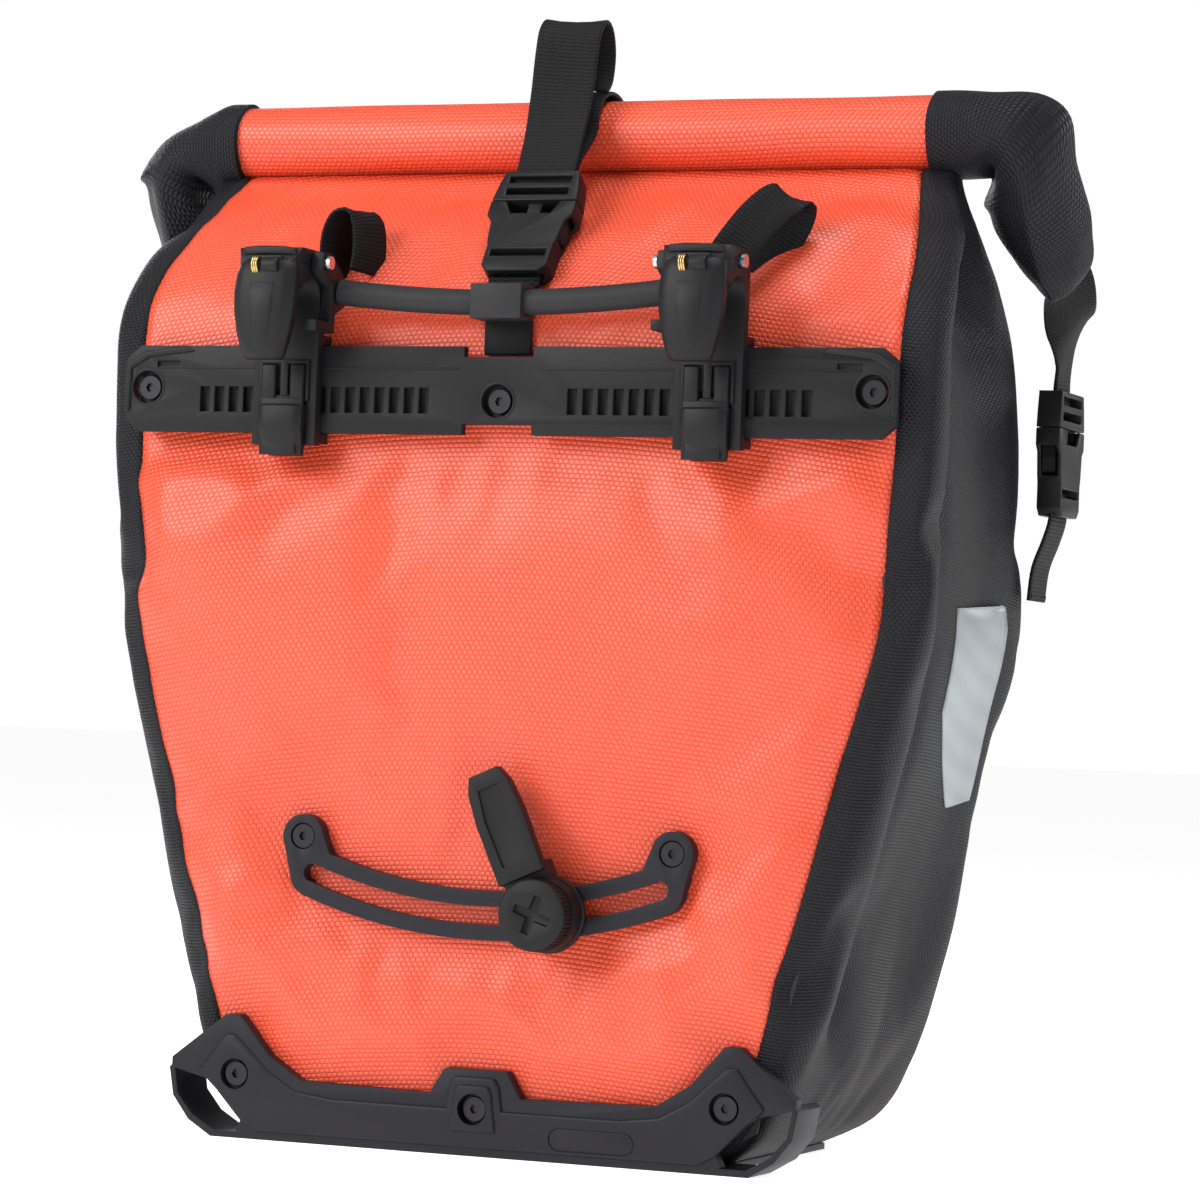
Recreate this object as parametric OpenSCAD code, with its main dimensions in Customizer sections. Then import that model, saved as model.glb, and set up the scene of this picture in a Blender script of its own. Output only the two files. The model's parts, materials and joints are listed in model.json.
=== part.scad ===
// Roll-top bicycle pannier: fabric bag, quick-release rack hooks on a rail,
// swivelling lower anchor on an arc rail, bottom guard, straps and buckles.
// The rack side faces -Y, the street side faces +Y, the base rests at Z = 0.

/* [Bag] */
// Depth of the bag, rack side to street side
bag_depth = 164; // [150:1:180]
// Half width of the bag at its base
half_base = 108; // [104:1:112]
// Half width of the bag at the shoulder
half_top = 169; // [167:1:171]
// Height of the middle bend in the side outline
bend_z = 205; // [195:1:215]
// Height at which the walls lean in to the roll
shoulder_z = 318; // [317:1:322]
// Wall thickness of the coated fabric
skin = 1.6; // [1.2:0.1:1.8]
// Radius of the rolled closure
roll_r = 16.5; // [15:0.5:17]
// Height of the centre of the roll
roll_z = 400; // [398:1:402]
// Length of the coloured middle of the roll
roll_len = 308; // [300:1:312]

/* [Rack rail] */
// Length of the mounting rail
rail_len = 321; // [315:1:325]
// Height of the mounting rail
rail_h = 34; // [32:1:35]
// Height of the middle of the rail
rail_z = 293; // [291:1:294]
// Number of vent slots in each half of the rail
vents = 16; // [12:1:16]
// Spacing of the vent slots
vent_pitch = 6.3; // [6:0.1:6.4]

/* [Hooks] */
// Distance of each hook from the middle
hook_x = 88; // [80:1:92]
// Width of each hook
hook_w = 27; // [24:1:28]
// Diameter of the rack tube that the hooks hold
tube_d = 16; // [10:1:16]
// Outer diameter of the carrying hose
hose_d = 10; // [9:0.5:11]

/* [Lower anchor] */
// Radius of the arc on which the anchor slides
arc_r = 210; // [208:1:212]
// Position of the anchor along the arc, in degrees from the middle
anchor_deg = 7.8; // [4:0.1:12]
// Lean of the anchor fin from vertical, in degrees
fin_lean = 24; // [10:1:40]

/* [Straps] */
// Width of the webbing
web_w = 25; // [22:1:25]
// Thickness of the webbing
web_t = 1.6; // [1.2:0.1:1.8]

/* [Hidden] */
$fn = 48;

fit = 0.3;                      // clearance between neighbouring soft or sliding pieces
bore_gap = 0.06;                // running clearance of a pin in its bore
face_y = -bag_depth / 2;        // outer surface of the rack side
far_y = bag_depth / 2;          // outer surface of the street side
roll_y = face_y + 68;           // centre of the roll
roll_low_z = roll_z - roll_r - fit;

black = [0.13, 0.13, 0.14];
charcoal = [0.20, 0.20, 0.21];
slate = [0.30, 0.31, 0.35];
coral = [1.0, 0.42, 0.30];
silver = [0.75, 0.77, 0.79];
brass = [0.80, 0.62, 0.30];

// ---- flat helper shapes ----

// Corner points of a path, moved d to its left, with mitred corners.
function unit(v) = v / norm(v);
function left_of(v) = [-v[1], v[0]];
function shifted(path, d) = [
    for (i = [0 : len(path) - 1])
        let (before = i > 0 ? unit(path[i] - path[i - 1]) : unit(path[1] - path[0]),
             after = i < len(path) - 1 ? unit(path[i + 1] - path[i]) : before,
             mid = unit(left_of(before) + left_of(after)))
        path[i] + mid * d / (mid * left_of(before))
];
function reversed(list) = [for (i = [len(list) - 1 : -1 : 0]) list[i]];
// Outline of a band t thick that lies on the left of a path.
function band(path, t) = concat(path, reversed(shifted(path, t)));

// A flat shape drawn in X and Z, extruded along Y from y0 to y1.
module slab_y(y0, y1) {
    translate([0, y1, 0]) rotate([90, 0, 0]) linear_extrude(y1 - y0) children();
}
// A flat shape drawn in Y and Z, extruded along X from x0 to x1.
module slab_x(x0, x1) {
    translate([x0, 0, 0]) rotate([90, 0, 90]) linear_extrude(x1 - x0) children();
}
module box(low, high) { translate(low) cube(high - low); }
// A round rod along Y, centred on [x, z].
module rod_y(x, z, r, y0, y1) { slab_y(y0, y1) translate([x, z]) circle(r); }
// A round rod along X, centred on [y, z].
module rod_x(y, z, r, x0, x1) { slab_x(x0, x1) translate([y, z]) circle(r); }
// A flat tapered bar from p to q with round ends of radius a and b.
module bar(p, q, a, b) {
    side = left_of(unit(q - p)) * 0.985;
    translate(p) circle(a);
    translate(q) circle(b);
    polygon([p + side * a, p - side * a, q - side * b, q + side * b]);
}

// ---- bag ----

// Outline of the right side, from the base up.
side_path = [[half_base, 3], [half_base + 8, 12], [166, bend_z], [half_top, 300], [half_top, 338], [158, 386]];
function mirrored(path) = [for (p = path) [-p[0], p[1]]];
module inside_outline(gap) {
    inner = shifted(side_path, gap);
    polygon(concat(inner, reversed(mirrored(inner))));
}
// Side section of the rack panel and of the street panel.
rack_path = [
    [face_y, 3], [face_y, shoulder_z], [face_y + 6, shoulder_z + 12],
    [face_y + 24, 352], [roll_y - 8, roll_low_z - 2]
];
street_path = [
    [far_y, 3], [far_y, 250], [far_y - 4, 290], [far_y - 18, 330], [roll_y + 30, 360],
    [roll_y - 8 + 2 * skin + 8, roll_low_z - 2]
];
module side_section(gap) {
    polygon(concat(shifted(rack_path, -gap), reversed(shifted(street_path, gap))));
}

rail_screw_x = 151;
rail_holes = [[-rail_screw_x, rail_z + 0.5], [rail_screw_x, rail_z + 0.5], [0, rail_z - 4]];
arc_screw = [77, 119];
arc_holes = [[-arc_screw[0], arc_screw[1]], arc_screw];
guard_screw = [102, 25];
guard_holes = [[-guard_screw[0], guard_screw[1]], guard_screw, [0, 18]];
screw_r = 2.5;
hole_r = 2.8;
stiff_y = face_y + skin + fit;  // rack side face of the inner plate
stiff_t = 2;
nut_y = stiff_y + stiff_t + 0.1;

module fixing_holes() {
    for (p = concat(rail_holes, arc_holes, guard_holes)) rod_y(p[0], p[1], hole_r, face_y - 1, nut_y);
}
module back_panel() {
    color(coral) difference() {
        intersection() {
            slab_x(-200, 200) polygon(band(rack_path, -skin));
            slab_y(face_y - 1, far_y) inside_outline(skin + fit);
        }
        fixing_holes();
    }
}
module front_panel() {
    color(coral) intersection() {
        slab_x(-200, 200) polygon(band(street_path, skin));
        slab_y(face_y - 1, far_y + 1) inside_outline(skin + fit);
    }
}
module gusset(side) {
    color(charcoal) mirror([side < 0 ? 1 : 0, 0, 0]) intersection() {
        slab_y(face_y, far_y) polygon(band(side_path, skin));
        slab_x(0, 200) side_section(0);
    }
}
module gusset_left() { gusset(-1); }
module gusset_right() { gusset(1); }
module base_panel() {
    half = half_base - skin - 1;
    color(charcoal) box([-half, face_y + skin + fit, 3], [half, far_y - skin - fit, 3 + skin]);
}
module roll() {
    color(coral) difference() {
        rod_x(roll_y, roll_z, roll_r, -roll_len / 2, roll_len / 2);
        box([-200, roll_y - 11, roll_z - 3], [200, roll_y + 11, roll_z + 3]);
    }
}
module closure_bar() {
    color(black) box([-roll_len / 2 + 4, roll_y - 10.5, roll_z - 1.5], [roll_len / 2 - 4, roll_y + 10.5, roll_z + 1.5]);
}
// Folded end of the roll, drawn down and back by the side strap.
module roll_end(side) {
    tip = [191, roll_y + 56, 364];
    color(charcoal) mirror([side < 0 ? 1 : 0, 0, 0]) {
        hull() {
            rod_x(roll_y, roll_z, roll_r, roll_len / 2 + fit, roll_len / 2 + 8, $fn = 24);
            translate([184, roll_y + 12, roll_z - 3]) sphere(13, $fn = 20);
        }
        hull() {
            translate([184, roll_y + 12, roll_z - 3]) sphere(12.5, $fn = 20);
            translate(tip) sphere(9.5, $fn = 20);
            translate(tip - [0, 20, 4]) sphere(9.5, $fn = 20);
        }
    }
}
module roll_end_left() { roll_end(-1); }
module roll_end_right() { roll_end(1); }
module back_stiffener() {
    color(black) difference() {
        slab_y(stiff_y, stiff_y + stiff_t)
            polygon([[-100, 8], [100, 8], [112, 16], [154, 190], [157, 312], [-157, 312], [-154, 190], [-112, 16]]);
        for (p = concat(rail_holes, arc_holes, guard_holes)) rod_y(p[0], p[1], hole_r, face_y - 1, 0);
    }
}
module inner_pocket() {
    color(black) difference() {
        box([-95, nut_y + 4.2, 90], [95, nut_y + 10.2, 262]);
        box([-93.4, nut_y + 5.4, 91.6], [93.4, nut_y + 9, 270]);
    }
}
// Reflective patch on each gusset.
module reflector(side) {
    patch = [
        [face_y + 66, 217], [face_y + 128, 220], [face_y + 133, 212],
        [face_y + 131, 141], [face_y + 112, 139], [face_y + 70, 176]
    ];
    color(silver) mirror([side < 0 ? 1 : 0, 0, 0]) intersection() {
        slab_y(face_y, far_y) polygon(band(shifted(side_path, -0.9), 0.8));
        slab_x(100, 200) polygon(patch);
    }
}
module reflector_left() { reflector(-1); }
module reflector_right() { reflector(1); }

// ---- rail ----

plate_y = face_y - 10;          // front of the rail
plate_t = 4;                    // thickness of the flanges that the hooks grip
neck_half = rail_h / 2 - 5;     // half height of the neck behind the flanges
rail_back = face_y - 0.1;
notch = 14.5;                   // half width of the cut-outs in the middle of the flanges

module rail_outline(inset) {
    tip = rail_len / 2 - inset;
    h = rail_h / 2 - inset;
    polygon([
        [-tip, rail_z - h + 5], [-tip + 6, rail_z - h], [-notch, rail_z - h], [-notch, rail_z - h + 4],
        [notch, rail_z - h + 4], [notch, rail_z - h], [tip - 6, rail_z - h], [tip, rail_z - h + 5],
        [tip, rail_z + h - 5], [tip - 6, rail_z + h], [notch, rail_z + h], [notch, rail_z + h - 4],
        [-notch, rail_z + h - 4], [-notch, rail_z + h], [-tip + 6, rail_z + h], [-tip, rail_z + h - 5]
    ]);
}
module mounting_rail() {
    color(charcoal) difference() {
        union() {
            slab_y(plate_y, plate_y + plate_t) rail_outline(0);
            box([-rail_len / 2 + 5, plate_y + plate_t, rail_z - neck_half],
                [rail_len / 2 - 5, rail_back, rail_z + neck_half]);
        }
        for (p = rail_holes) {
            rod_y(p[0], p[1], 6.5, plate_y - 1, plate_y + 4.5);
            rod_y(p[0], p[1], hole_r, plate_y, face_y);
        }
        for (i = [0 : vents - 1], s = [-1, 1])
            translate([s * (31 + i * vent_pitch) - 2.1, plate_y - 1, rail_z - 9])
                cube([4.2, 4, 10]);
        for (s = [-1, 1])
            box([s * 142 - 5, plate_y - 1, rail_z + 8], [s * 142 + 5, plate_y + 1.5, rail_z + 11]);
    }
}
// A pan head screw with a six-point socket; its head lies on the plane y.
module screw(p, y, length, head_r = 4.6) {
    difference() {
        union() {
            rod_y(p[0], p[1], head_r, y - 2.4, y);
            rod_y(p[0], p[1], screw_r, y, y + length);
        }
        slab_y(y - 3, y - 1) translate(p) circle(1.9, $fn = 6);
    }
}
module nut(p) {
    difference() {
        slab_y(nut_y, nut_y + 4) translate(p) circle(5.5, $fn = 6);
        rod_y(p[0], p[1], screw_r + 0.05, nut_y - 1, nut_y + 5);
    }
}
module rail_screws() {
    color(black) for (p = rail_holes) screw(p, plate_y + 4.5, nut_y + 4 - plate_y - 4.5);
}
module rail_nuts() { color(silver) for (p = rail_holes) nut(p); }

// ---- arc rail and lower anchor ----

arc_c = [0, 92 + arc_r];        // centre of the arc, in X and Z
arc_y = face_y - 6;             // front of the arc rail
slot_half = 3.5;
band_w = 6;
slot_end = asin(72.5 / arc_r);
// Flat ring sector about the arc's centre, a degrees each side of the bottom.
module sector(r0, r1, a) {
    translate(arc_c) intersection() {
        difference() { circle(r1, $fn = 180); circle(r0, $fn = 180); }
        polygon([[0, 0], [-300 * sin(a), -300 * cos(a)], [0, -400], [300 * sin(a), -300 * cos(a)]]);
    }
}
function on_arc(a) = arc_c + arc_r * [sin(a), -cos(a)];
module arc_rail() {
    color(slate) difference() {
        slab_y(arc_y, face_y - 0.1) {
            sector(arc_r - slot_half - band_w, arc_r + slot_half + band_w, slot_end);
            for (s = [-1, 1]) bar(on_arc(s * slot_end), [s * arc_screw[0], arc_screw[1]], slot_half + band_w, 8.5);
        }
        slab_y(arc_y - 1, face_y) {
            sector(arc_r - slot_half, arc_r + slot_half, slot_end);
            for (s = [-1, 1]) translate(on_arc(s * slot_end)) circle(slot_half);
        }
        // relief behind the slot, in which the foot of the slider runs
        slab_y(face_y - 2.6, face_y) sector(arc_r - 6.2, arc_r + 6.2, slot_end);
        for (p = arc_holes) {
            rod_y(p[0], p[1], 5.2, arc_y - 1, arc_y + 3);
            rod_y(p[0], p[1], hole_r, arc_y, face_y);
        }
    }
}
module arc_screws() {
    color(black) for (p = arc_holes) screw(p, arc_y + 3, nut_y + 4 - arc_y - 3);
}
module arc_nuts() { color(silver) for (p = arc_holes) nut(p); }

pivot = on_arc(anchor_deg);     // swivel axis of the anchor
slide_y = arc_y - 3;            // front of the slider flange
fin_y = slide_y - 8;            // front of the swivelling foot of the fin
stud_r = 3;
module anchor_slider() {
    color(charcoal) union() {
        rod_y(pivot[0], pivot[1], 15, slide_y, arc_y - fit);
        rod_y(pivot[0], pivot[1], slot_half - fit, arc_y - fit, face_y - 2.2);
        rod_y(pivot[0], pivot[1], 5.6, face_y - 2.2, face_y - 0.6);
        rod_y(pivot[0], pivot[1], stud_r, fin_y - 5, slide_y);
    }
}
module anchor_fin() {
    color(charcoal) translate([pivot[0], 0, pivot[1]]) rotate([0, -fin_lean, 0]) difference() {
        union() {
            rod_y(0, 0, 14.2, fin_y, slide_y - 0.1);
            slab_y(fin_y - 5, fin_y + 0.5) polygon([
                [-9.5, 15.2], [9.5, 15.2], [9.8, 40], [8.6, 52], [6, 58], [-6, 58], [-8.6, 52], [-9.8, 40]
            ]);
            slab_y(fin_y, slide_y - 0.1) polygon([[-9.5, 4], [9.5, 4], [9.5, 19], [-9.5, 19]]);
        }
        rod_y(0, 0, stud_r + bore_gap, fin_y - 7, slide_y + 1);
        // shallow panel let into the front of the fin
        slab_y(fin_y - 6, fin_y - 4) polygon([[-5.5, 21], [5.5, 21], [6, 40], [4.4, 52], [-4.4, 52], [-6, 40]]);
    }
}
module anchor_knob() {
    color(charcoal) difference() {
        rod_y(pivot[0], pivot[1], 13.4, fin_y - 8.4, fin_y - 0.1);
        rod_y(pivot[0], pivot[1], stud_r + bore_gap, fin_y - 5.4, fin_y);
        for (a = [0, 90]) translate([pivot[0], 0, pivot[1]]) rotate([0, a + 20, 0])
            box([-7.5, fin_y - 9, -1.6], [7.5, fin_y - 6.4, 1.6]);
    }
}

// ---- bottom guard ----

guard_y = face_y - 6;
module guard_outline() {
    half = [
        [96, 0], [101, 3], [97, 12], [113, 22], [130, 26], [130, 30], [107, 48], [101, 48],
        [88, 33], [74, 24], [19, 23], [13, 33]
    ];
    polygon(concat(half, reversed(mirrored(half))));
}
module bottom_guard() {
    color(slate) difference() {
        union() {
            slab_y(guard_y, face_y - 0.1) guard_outline();
            slab_y(guard_y, face_y + 20) for (s = [-1, 1]) polygon([
                [s * 96, 0], [s * 112, 0], [s * 122, 6], [s * 129, 15], [s * 131, 26],
                [s * 129, 28], [s * 127, 16], [s * 120.5, 8.2], [s * 111, 2.6], [s * 96, 2.6]
            ]);
            box([-97, face_y - 0.2, 0], [97, far_y - 8, 2.6]);
        }
        for (p = guard_holes) {
            rod_y(p[0], p[1], 6, guard_y - 1, guard_y + 3);
            rod_y(p[0], p[1], hole_r, guard_y, face_y + 1);
        }
        // blank oval panel
        slab_y(guard_y - 1, guard_y + 0.5) bar([36, 9], [62, 9], 4.5, 4.5);
    }
}
module guard_screws() {
    color(black) for (p = guard_holes) screw(p, guard_y + 3, nut_y + 4 - guard_y - 3);
}
module guard_nuts() { color(silver) for (p = guard_holes) nut(p); }

// ---- rack hooks ----

seat_r = tube_d / 2 + 0.1;      // radius of the seat over the rack tube
hook_back = plate_y - 0.4;      // face of the hook that slides on the rail
limb_t = 5;
seat_y = hook_back - limb_t - seat_r;
seat_z = 327;
hook_top = seat_z + seat_r + 11;
pin_c = [seat_y + 2.5, seat_z + seat_r + 6];
pin_r = 1.5;
front_y = seat_y - seat_r - 5;
lip = 0.4;                      // clearance of the hook round the flanges

function rail_top(s) = rail_z + s * rail_h / 2;
lip_in = plate_y + plate_t + lip;
lip_out = lip_in + 2.4;
module hook_profile() {
    top = rail_top(1);
    low = rail_top(-1);
    difference() {
        polygon([
            [hook_back, hook_top - 5], [hook_back - 5, hook_top], [front_y + 5, hook_top], [front_y, hook_top - 6],
            [front_y + 1, seat_z - 23], [seat_y - seat_r, seat_z - 23], [seat_y - seat_r, seat_z],
            [seat_y + seat_r, seat_z], [seat_y + seat_r, low - 5], [hook_back, low - 5], [hook_back, low - 4],
            [lip_out, low - 4], [lip_out, low + 4.4], [lip_in, low + 4.4], [lip_in, low - lip],
            [hook_back, low - lip], [hook_back, top + lip], [lip_in, top + lip], [lip_in, top - 4.4],
            [lip_out, top - 4.4], [lip_out, top + 4], [hook_back, top + 4]
        ]);
        translate([seat_y, seat_z]) circle(seat_r);
    }
}
latch_z = rail_z - 4;           // hinge line of the rail latch
latch_y = hook_back - limb_t - 1.9;
module hook_body(side) {
    x = side * hook_x;
    color(black) difference() {
        slab_x(x - hook_w / 2, x + hook_w / 2) hook_profile();
        rod_x(pin_c[0], pin_c[1], pin_r + bore_gap, x - 20, x + 20);
        // window for the spring
        box([x - 8, pin_c[0] - 4.6, pin_c[1] - 4.6], [x + 2, pin_c[0] + 4.6, hook_top + 1]);
        // taper of the front limb
        slab_y(front_y - 1, seat_y) for (s = [-1, 1]) polygon([
            [x + s * hook_w / 2, seat_z - 4], [x + s * (hook_w / 2 + 1), seat_z - 4],
            [x + s * (hook_w / 2 + 1), seat_z - 24], [x + s * 8, seat_z - 24]
        ]);
        // recess that holds the latch
        box([x - 9.3, hook_back - limb_t - 1, rail_top(-1) - 6], [x + 9.3, hook_back - limb_t + 1.6, latch_z + 4]);
    }
}
module hook_body_left() { hook_body(-1); }
module hook_body_right() { hook_body(1); }

module rail_latch(side) {
    x = side * hook_x;
    color(black) union() {
        rod_x(latch_y + 1.6, latch_z, 1.6, x - 9, x + 9);
        box([x - 9, latch_y - 0.6, rail_top(-1) - 9], [x + 9, latch_y + 1.4, latch_z]);
        box([x - 7, latch_y - 2, rail_top(-1) - 9], [x + 7, latch_y - 0.6, rail_top(-1) - 3]);
    }
}
module rail_latch_left() { rail_latch(-1); }
module rail_latch_right() { rail_latch(1); }

lever_in = hook_w / 2 + fit;    // inner face of the lever, from the middle of the hook
lever_t = 5;
// The lever lies on the inner flank of each hook; its finger closes the mouth.
module lock_lever(side) {
    x = side * hook_x;
    low = min(x - side * lever_in, x - side * (lever_in + lever_t));
    color(black) difference() {
        slab_x(low, low + lever_t) polygon([
            [pin_c[0] - 4, pin_c[1] - 3], [pin_c[0] - 3, pin_c[1] + 4], [pin_c[0] + 4, pin_c[1] + 4],
            [hook_back + 3, seat_z + 12], [hook_back + 7, seat_z + 8], [hook_back + 7, seat_z - 1],
            [hook_back - 1.5, seat_z - 5], [hook_back - 2, seat_z - 12.5],
            [seat_y - 5.5, seat_z - 12.5], [seat_y - 5.5, seat_z - seat_r - 0.4], [hook_back - 5, seat_z - seat_r - 0.4],
            [hook_back - 4.7, seat_z + 6]
        ]);
        rod_x(pin_c[0], pin_c[1], pin_r + bore_gap, x - 30, x + 30);
    }
}
module lock_lever_left() { lock_lever(-1); }
module lock_lever_right() { lock_lever(1); }
module lever_pin(side) {
    x = side * hook_x;
    outer = x + side * (hook_w / 2 + 1.4);
    inner = x - side * (lever_in + lever_t + 1.4);
    color(silver) union() {
        rod_x(pin_c[0], pin_c[1], pin_r, min(outer, inner), max(outer, inner));
        for (e = [outer, inner]) rod_x(pin_c[0], pin_c[1], 2.6, e - 0.7, e + 0.7);
    }
}
module lever_pin_left() { lever_pin(-1); }
module lever_pin_right() { lever_pin(1); }
module lever_spring(side) {
    x = side * hook_x;
    color(brass) for (i = [0 : 4])
        translate([x - 6.6 + i * 1.8, pin_c[0], pin_c[1]]) rotate([0, 90, 0])
            rotate_extrude() translate([2.9, 0]) circle(0.6, $fn = 16);
}
module lever_spring_left() { lever_spring(-1); }
module lever_spring_right() { lever_spring(1); }

// ---- carrying handle ----

hose_y = hook_back + 1.5;
hose_z = seat_z + 4;            // height of the ends of the hose
hose_half = hook_x - lever_in - lever_t - 1;
hose_sag = 4;
hose_bend = (hose_half * hose_half + hose_sag * hose_sag) / (2 * hose_sag);
// A round bar along the sagging line of the hose.
module hose_bar(r, half) {
    a = asin(half / hose_bend);
    translate([0, hose_y, hose_z - hose_sag + hose_bend]) rotate([90, 0, 0]) rotate([0, 0, -90 - a])
        rotate_extrude(angle = 2 * a, $fn = 180) translate([hose_bend, 0]) circle(r, $fn = 32);
}
module handle_hose() {
    color(black) difference() {
        hose_bar(hose_d / 2, hose_half);
        hose_bar(hose_d / 2 - 1.6, hose_half + 1);
    }
}
module handle_core() { color(black) hose_bar(hose_d / 2 - 1.9, hose_half + 0.4); }
clip_z = hose_z - hose_sag;
module hose_clip() {
    color(black) difference() {
        box([-10.5, hose_y - 7, clip_z - 6.6], [10.5, hose_y + 6.4, clip_z + 6.8]);
        hose_bar(hose_d / 2 + 0.25, 20);
    }
}
// Webbing tab from the rail up to the socket of the centre buckle.
module center_tab() {
    color(black) slab_x(-10, 10) polygon(band([
        [face_y - 2.2, rail_top(1) - 2.6], [face_y - 2.2, rail_top(1) + 11], [face_y + 1, clip_z + 5.4]
    ], -1.4));
}
// Small webbing loop at each end of the handle.
module handle_loop(side) {
    x = side * (hook_x - 10);
    foot = [face_y + 4.5, seat_z + 14];
    head = foot + [8, 20];
    tail = side * (hook_x - 7);
    color(black) {
        slab_x(x - 8.5, x + 8.5) difference() {
            bar(foot, head, 4, 5);
            bar(foot, head, 4 - web_t, 5 - web_t);
        }
        box([tail - 5, hook_back + fit, foot[1] - 0.8], [tail + 5, foot[0] - 3, foot[1] + 0.8]);
    }
}
module handle_loop_left() { handle_loop(-1); }
module handle_loop_right() { handle_loop(1); }

// ---- buckles ----
// Drawn flat: width along X, opening towards +Z, thickness along Y, origin at the mouth of the socket.

buckle_w = 36;
buckle_t = 10;
socket_h = 35;
prong_w = 4.4;
wall = 1.8;                     // wall of the socket
cavity = buckle_t / 2 - wall;   // half thickness of the space in the socket
slim_web = 22;                  // width of the webbing below each socket
slot_w = slim_web / 2 + 0.6;    // half width of the slot for it
module socket_shape() {
    half = buckle_w / 2;
    neck = slot_w + 2.2;
    edge = [
        [half, 0], [half, -7], [half - 2.4, -9.5], [half - 3.4, -19],
        [neck, -22], [neck, -socket_h + 3], [neck - 3, -socket_h]
    ];
    difference() {
        slab_y(-buckle_t / 2, buckle_t / 2) polygon(concat(edge, reversed(mirrored(edge))));
        box([-half + wall, -cavity, -8], [half - wall, cavity, 1]);
        box([-13, -cavity, -21.5], [13, cavity, -7]);
        for (s = [-1, 1]) box([s * 17 - 4, -cavity, -19], [s * 17 + 4, cavity, -7]);
        // notch in the front of the mouth
        slab_y(-buckle_t, 0) polygon([[-12, 1], [12, 1], [8.5, -6], [-8.5, -6]]);
        // slot for the webbing, behind a bar
        box([-slot_w, -1.6, -socket_h - 1], [slot_w, 1.6, -24]);
        box([-slot_w, -buckle_t, -27.5], [slot_w, 0, -24]);
    }
}
module plug_shape() {
    difference() {
        slab_y(-buckle_t / 2, buckle_t / 2) polygon([
            [-buckle_w / 2, 0.4], [-buckle_w / 2 + 1, 8], [-buckle_w / 2 + 2.4, 15], [buckle_w / 2 - 2.4, 15],
            [buckle_w / 2 - 1, 8], [buckle_w / 2, 0.4]
        ]);
        for (z = [3.4, 9.4]) box([-web_w / 2 - 0.6, -buckle_t, z], [web_w / 2 + 0.6, buckle_t, z + 3.6]);
        // gap for the webbing, above the upper slot
        box([-web_w / 2 - 0.6, -1.6, 9.4], [web_w / 2 + 0.6, 1.6, 16]);
    }
    box([-3, -2.4, -17], [3, 2.4, 0.5]);
}
// One springing prong, on the side s.
module prong_shape(s) {
    slab_y(-2.6, 2.6) polygon([
        [s * 10.6, 0], [s * 14.4, 0], [s * 15.4, -8.5], [s * 15.7, -12], [s * 15, -17], [s * 11.4, -18.6], [s * 10.2, -12]
    ]);
}
// Place a buckle on the sloping shoulder behind the hose.
tilt = 33;
center_mouth = [0, face_y + 22, 367];
module at_center() { translate(center_mouth) rotate([-tilt, 0, 0]) children(); }
module center_socket() { color(black) at_center() socket_shape(); }
module center_plug() { color(black) at_center() plug_shape(); }
module center_prong_left() { color(black) at_center() prong_shape(-1); }
module center_prong_right() { color(black) at_center() prong_shape(1); }
// Place a buckle on the side of the bag.
side_x = half_top + 8;
side_y = far_y - 12;
side_mouth = 292;
module at_side(side) { translate([side * side_x, side_y, side_mouth]) rotate([0, 0, side * 90]) children(); }
module side_socket_left() { color(black) at_side(-1) socket_shape(); }
module side_socket_right() { color(black) at_side(1) socket_shape(); }
module side_plug_left() { color(black) at_side(-1) plug_shape(); }
module side_plug_right() { color(black) at_side(1) plug_shape(); }
module side_prong_left_front() { color(black) at_side(-1) prong_shape(1); }
module side_prong_left_rear() { color(black) at_side(-1) prong_shape(-1); }
module side_prong_right_front() { color(black) at_side(1) prong_shape(-1); }
module side_prong_right_rear() { color(black) at_side(1) prong_shape(1); }

// ---- webbing ----

module side_strap_lower(side) {
    color(black) mirror([side < 0 ? 1 : 0, 0, 0]) slab_y(side_y - slim_web / 2, side_y + slim_web / 2)
        polygon(band([[side_x + 0.8, 266], [side_x + 0.8, 256], [173, 245], [169.4, 235], [168.9, 224]], -web_t));
}
module side_strap_lower_left() { side_strap_lower(-1); }
module side_strap_lower_right() { side_strap_lower(1); }
module side_strap_upper(side) {
    color(black) mirror([side < 0 ? 1 : 0, 0, 0]) slab_y(side_y - slim_web / 2, side_y + slim_web / 2)
        polygon(band([[side_x + 0.8, 302.5], [side_x + 0.8, 318], [side_x + 8, 352]], web_t));
}
module side_strap_upper_left() { side_strap_upper(-1); }
module side_strap_upper_right() { side_strap_upper(1); }
// Point on the axis of the centre buckle, in Y and Z, d above its mouth.
function center_axis(d) = [center_mouth[1] + d * sin(tilt), center_mouth[2] + d * cos(tilt)];
module center_socket_tab() {
    middle = [[face_y + 1.2, clip_z + 6.6], center_axis(-37), center_axis(-24.6)];
    color(black) slab_x(-slim_web / 2, slim_web / 2) polygon(band(shifted(middle, 0.6), -1.2));
}
// From the street side, over the roll, towards the plug of the centre buckle.
module closure_strap() {
    wrap = [for (a = [195 : -22.5 : -7.5]) [roll_y, roll_z] + (roll_r + 0.5) * [cos(a), sin(a)]];
    color(black) slab_x(-web_w / 2, web_w / 2) polygon(band(concat(
        wrap,
        [[roll_y + 32, 361], [far_y - 17.5, 331], [far_y - 3.5, 290.5], [far_y + 0.5, 250.5], [far_y + 0.5, 215]]
    ), web_t));
}
// Loop of webbing above the plug, by which the bag is lifted.
module carry_loop() {
    arch_c = [roll_y - 12, 437];
    arch = [for (a = [180 : -22.5 : 0]) arch_c + 8 * [cos(a), sin(a)]];
    color(black) slab_x(-web_w / 2, web_w / 2) polygon(band(concat(
        shifted([center_axis(10), center_axis(16.5)], -web_t / 2), [[roll_y - 24, 404]], arch, [[roll_y - 5, 423]]
    ), web_t));
}

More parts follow.
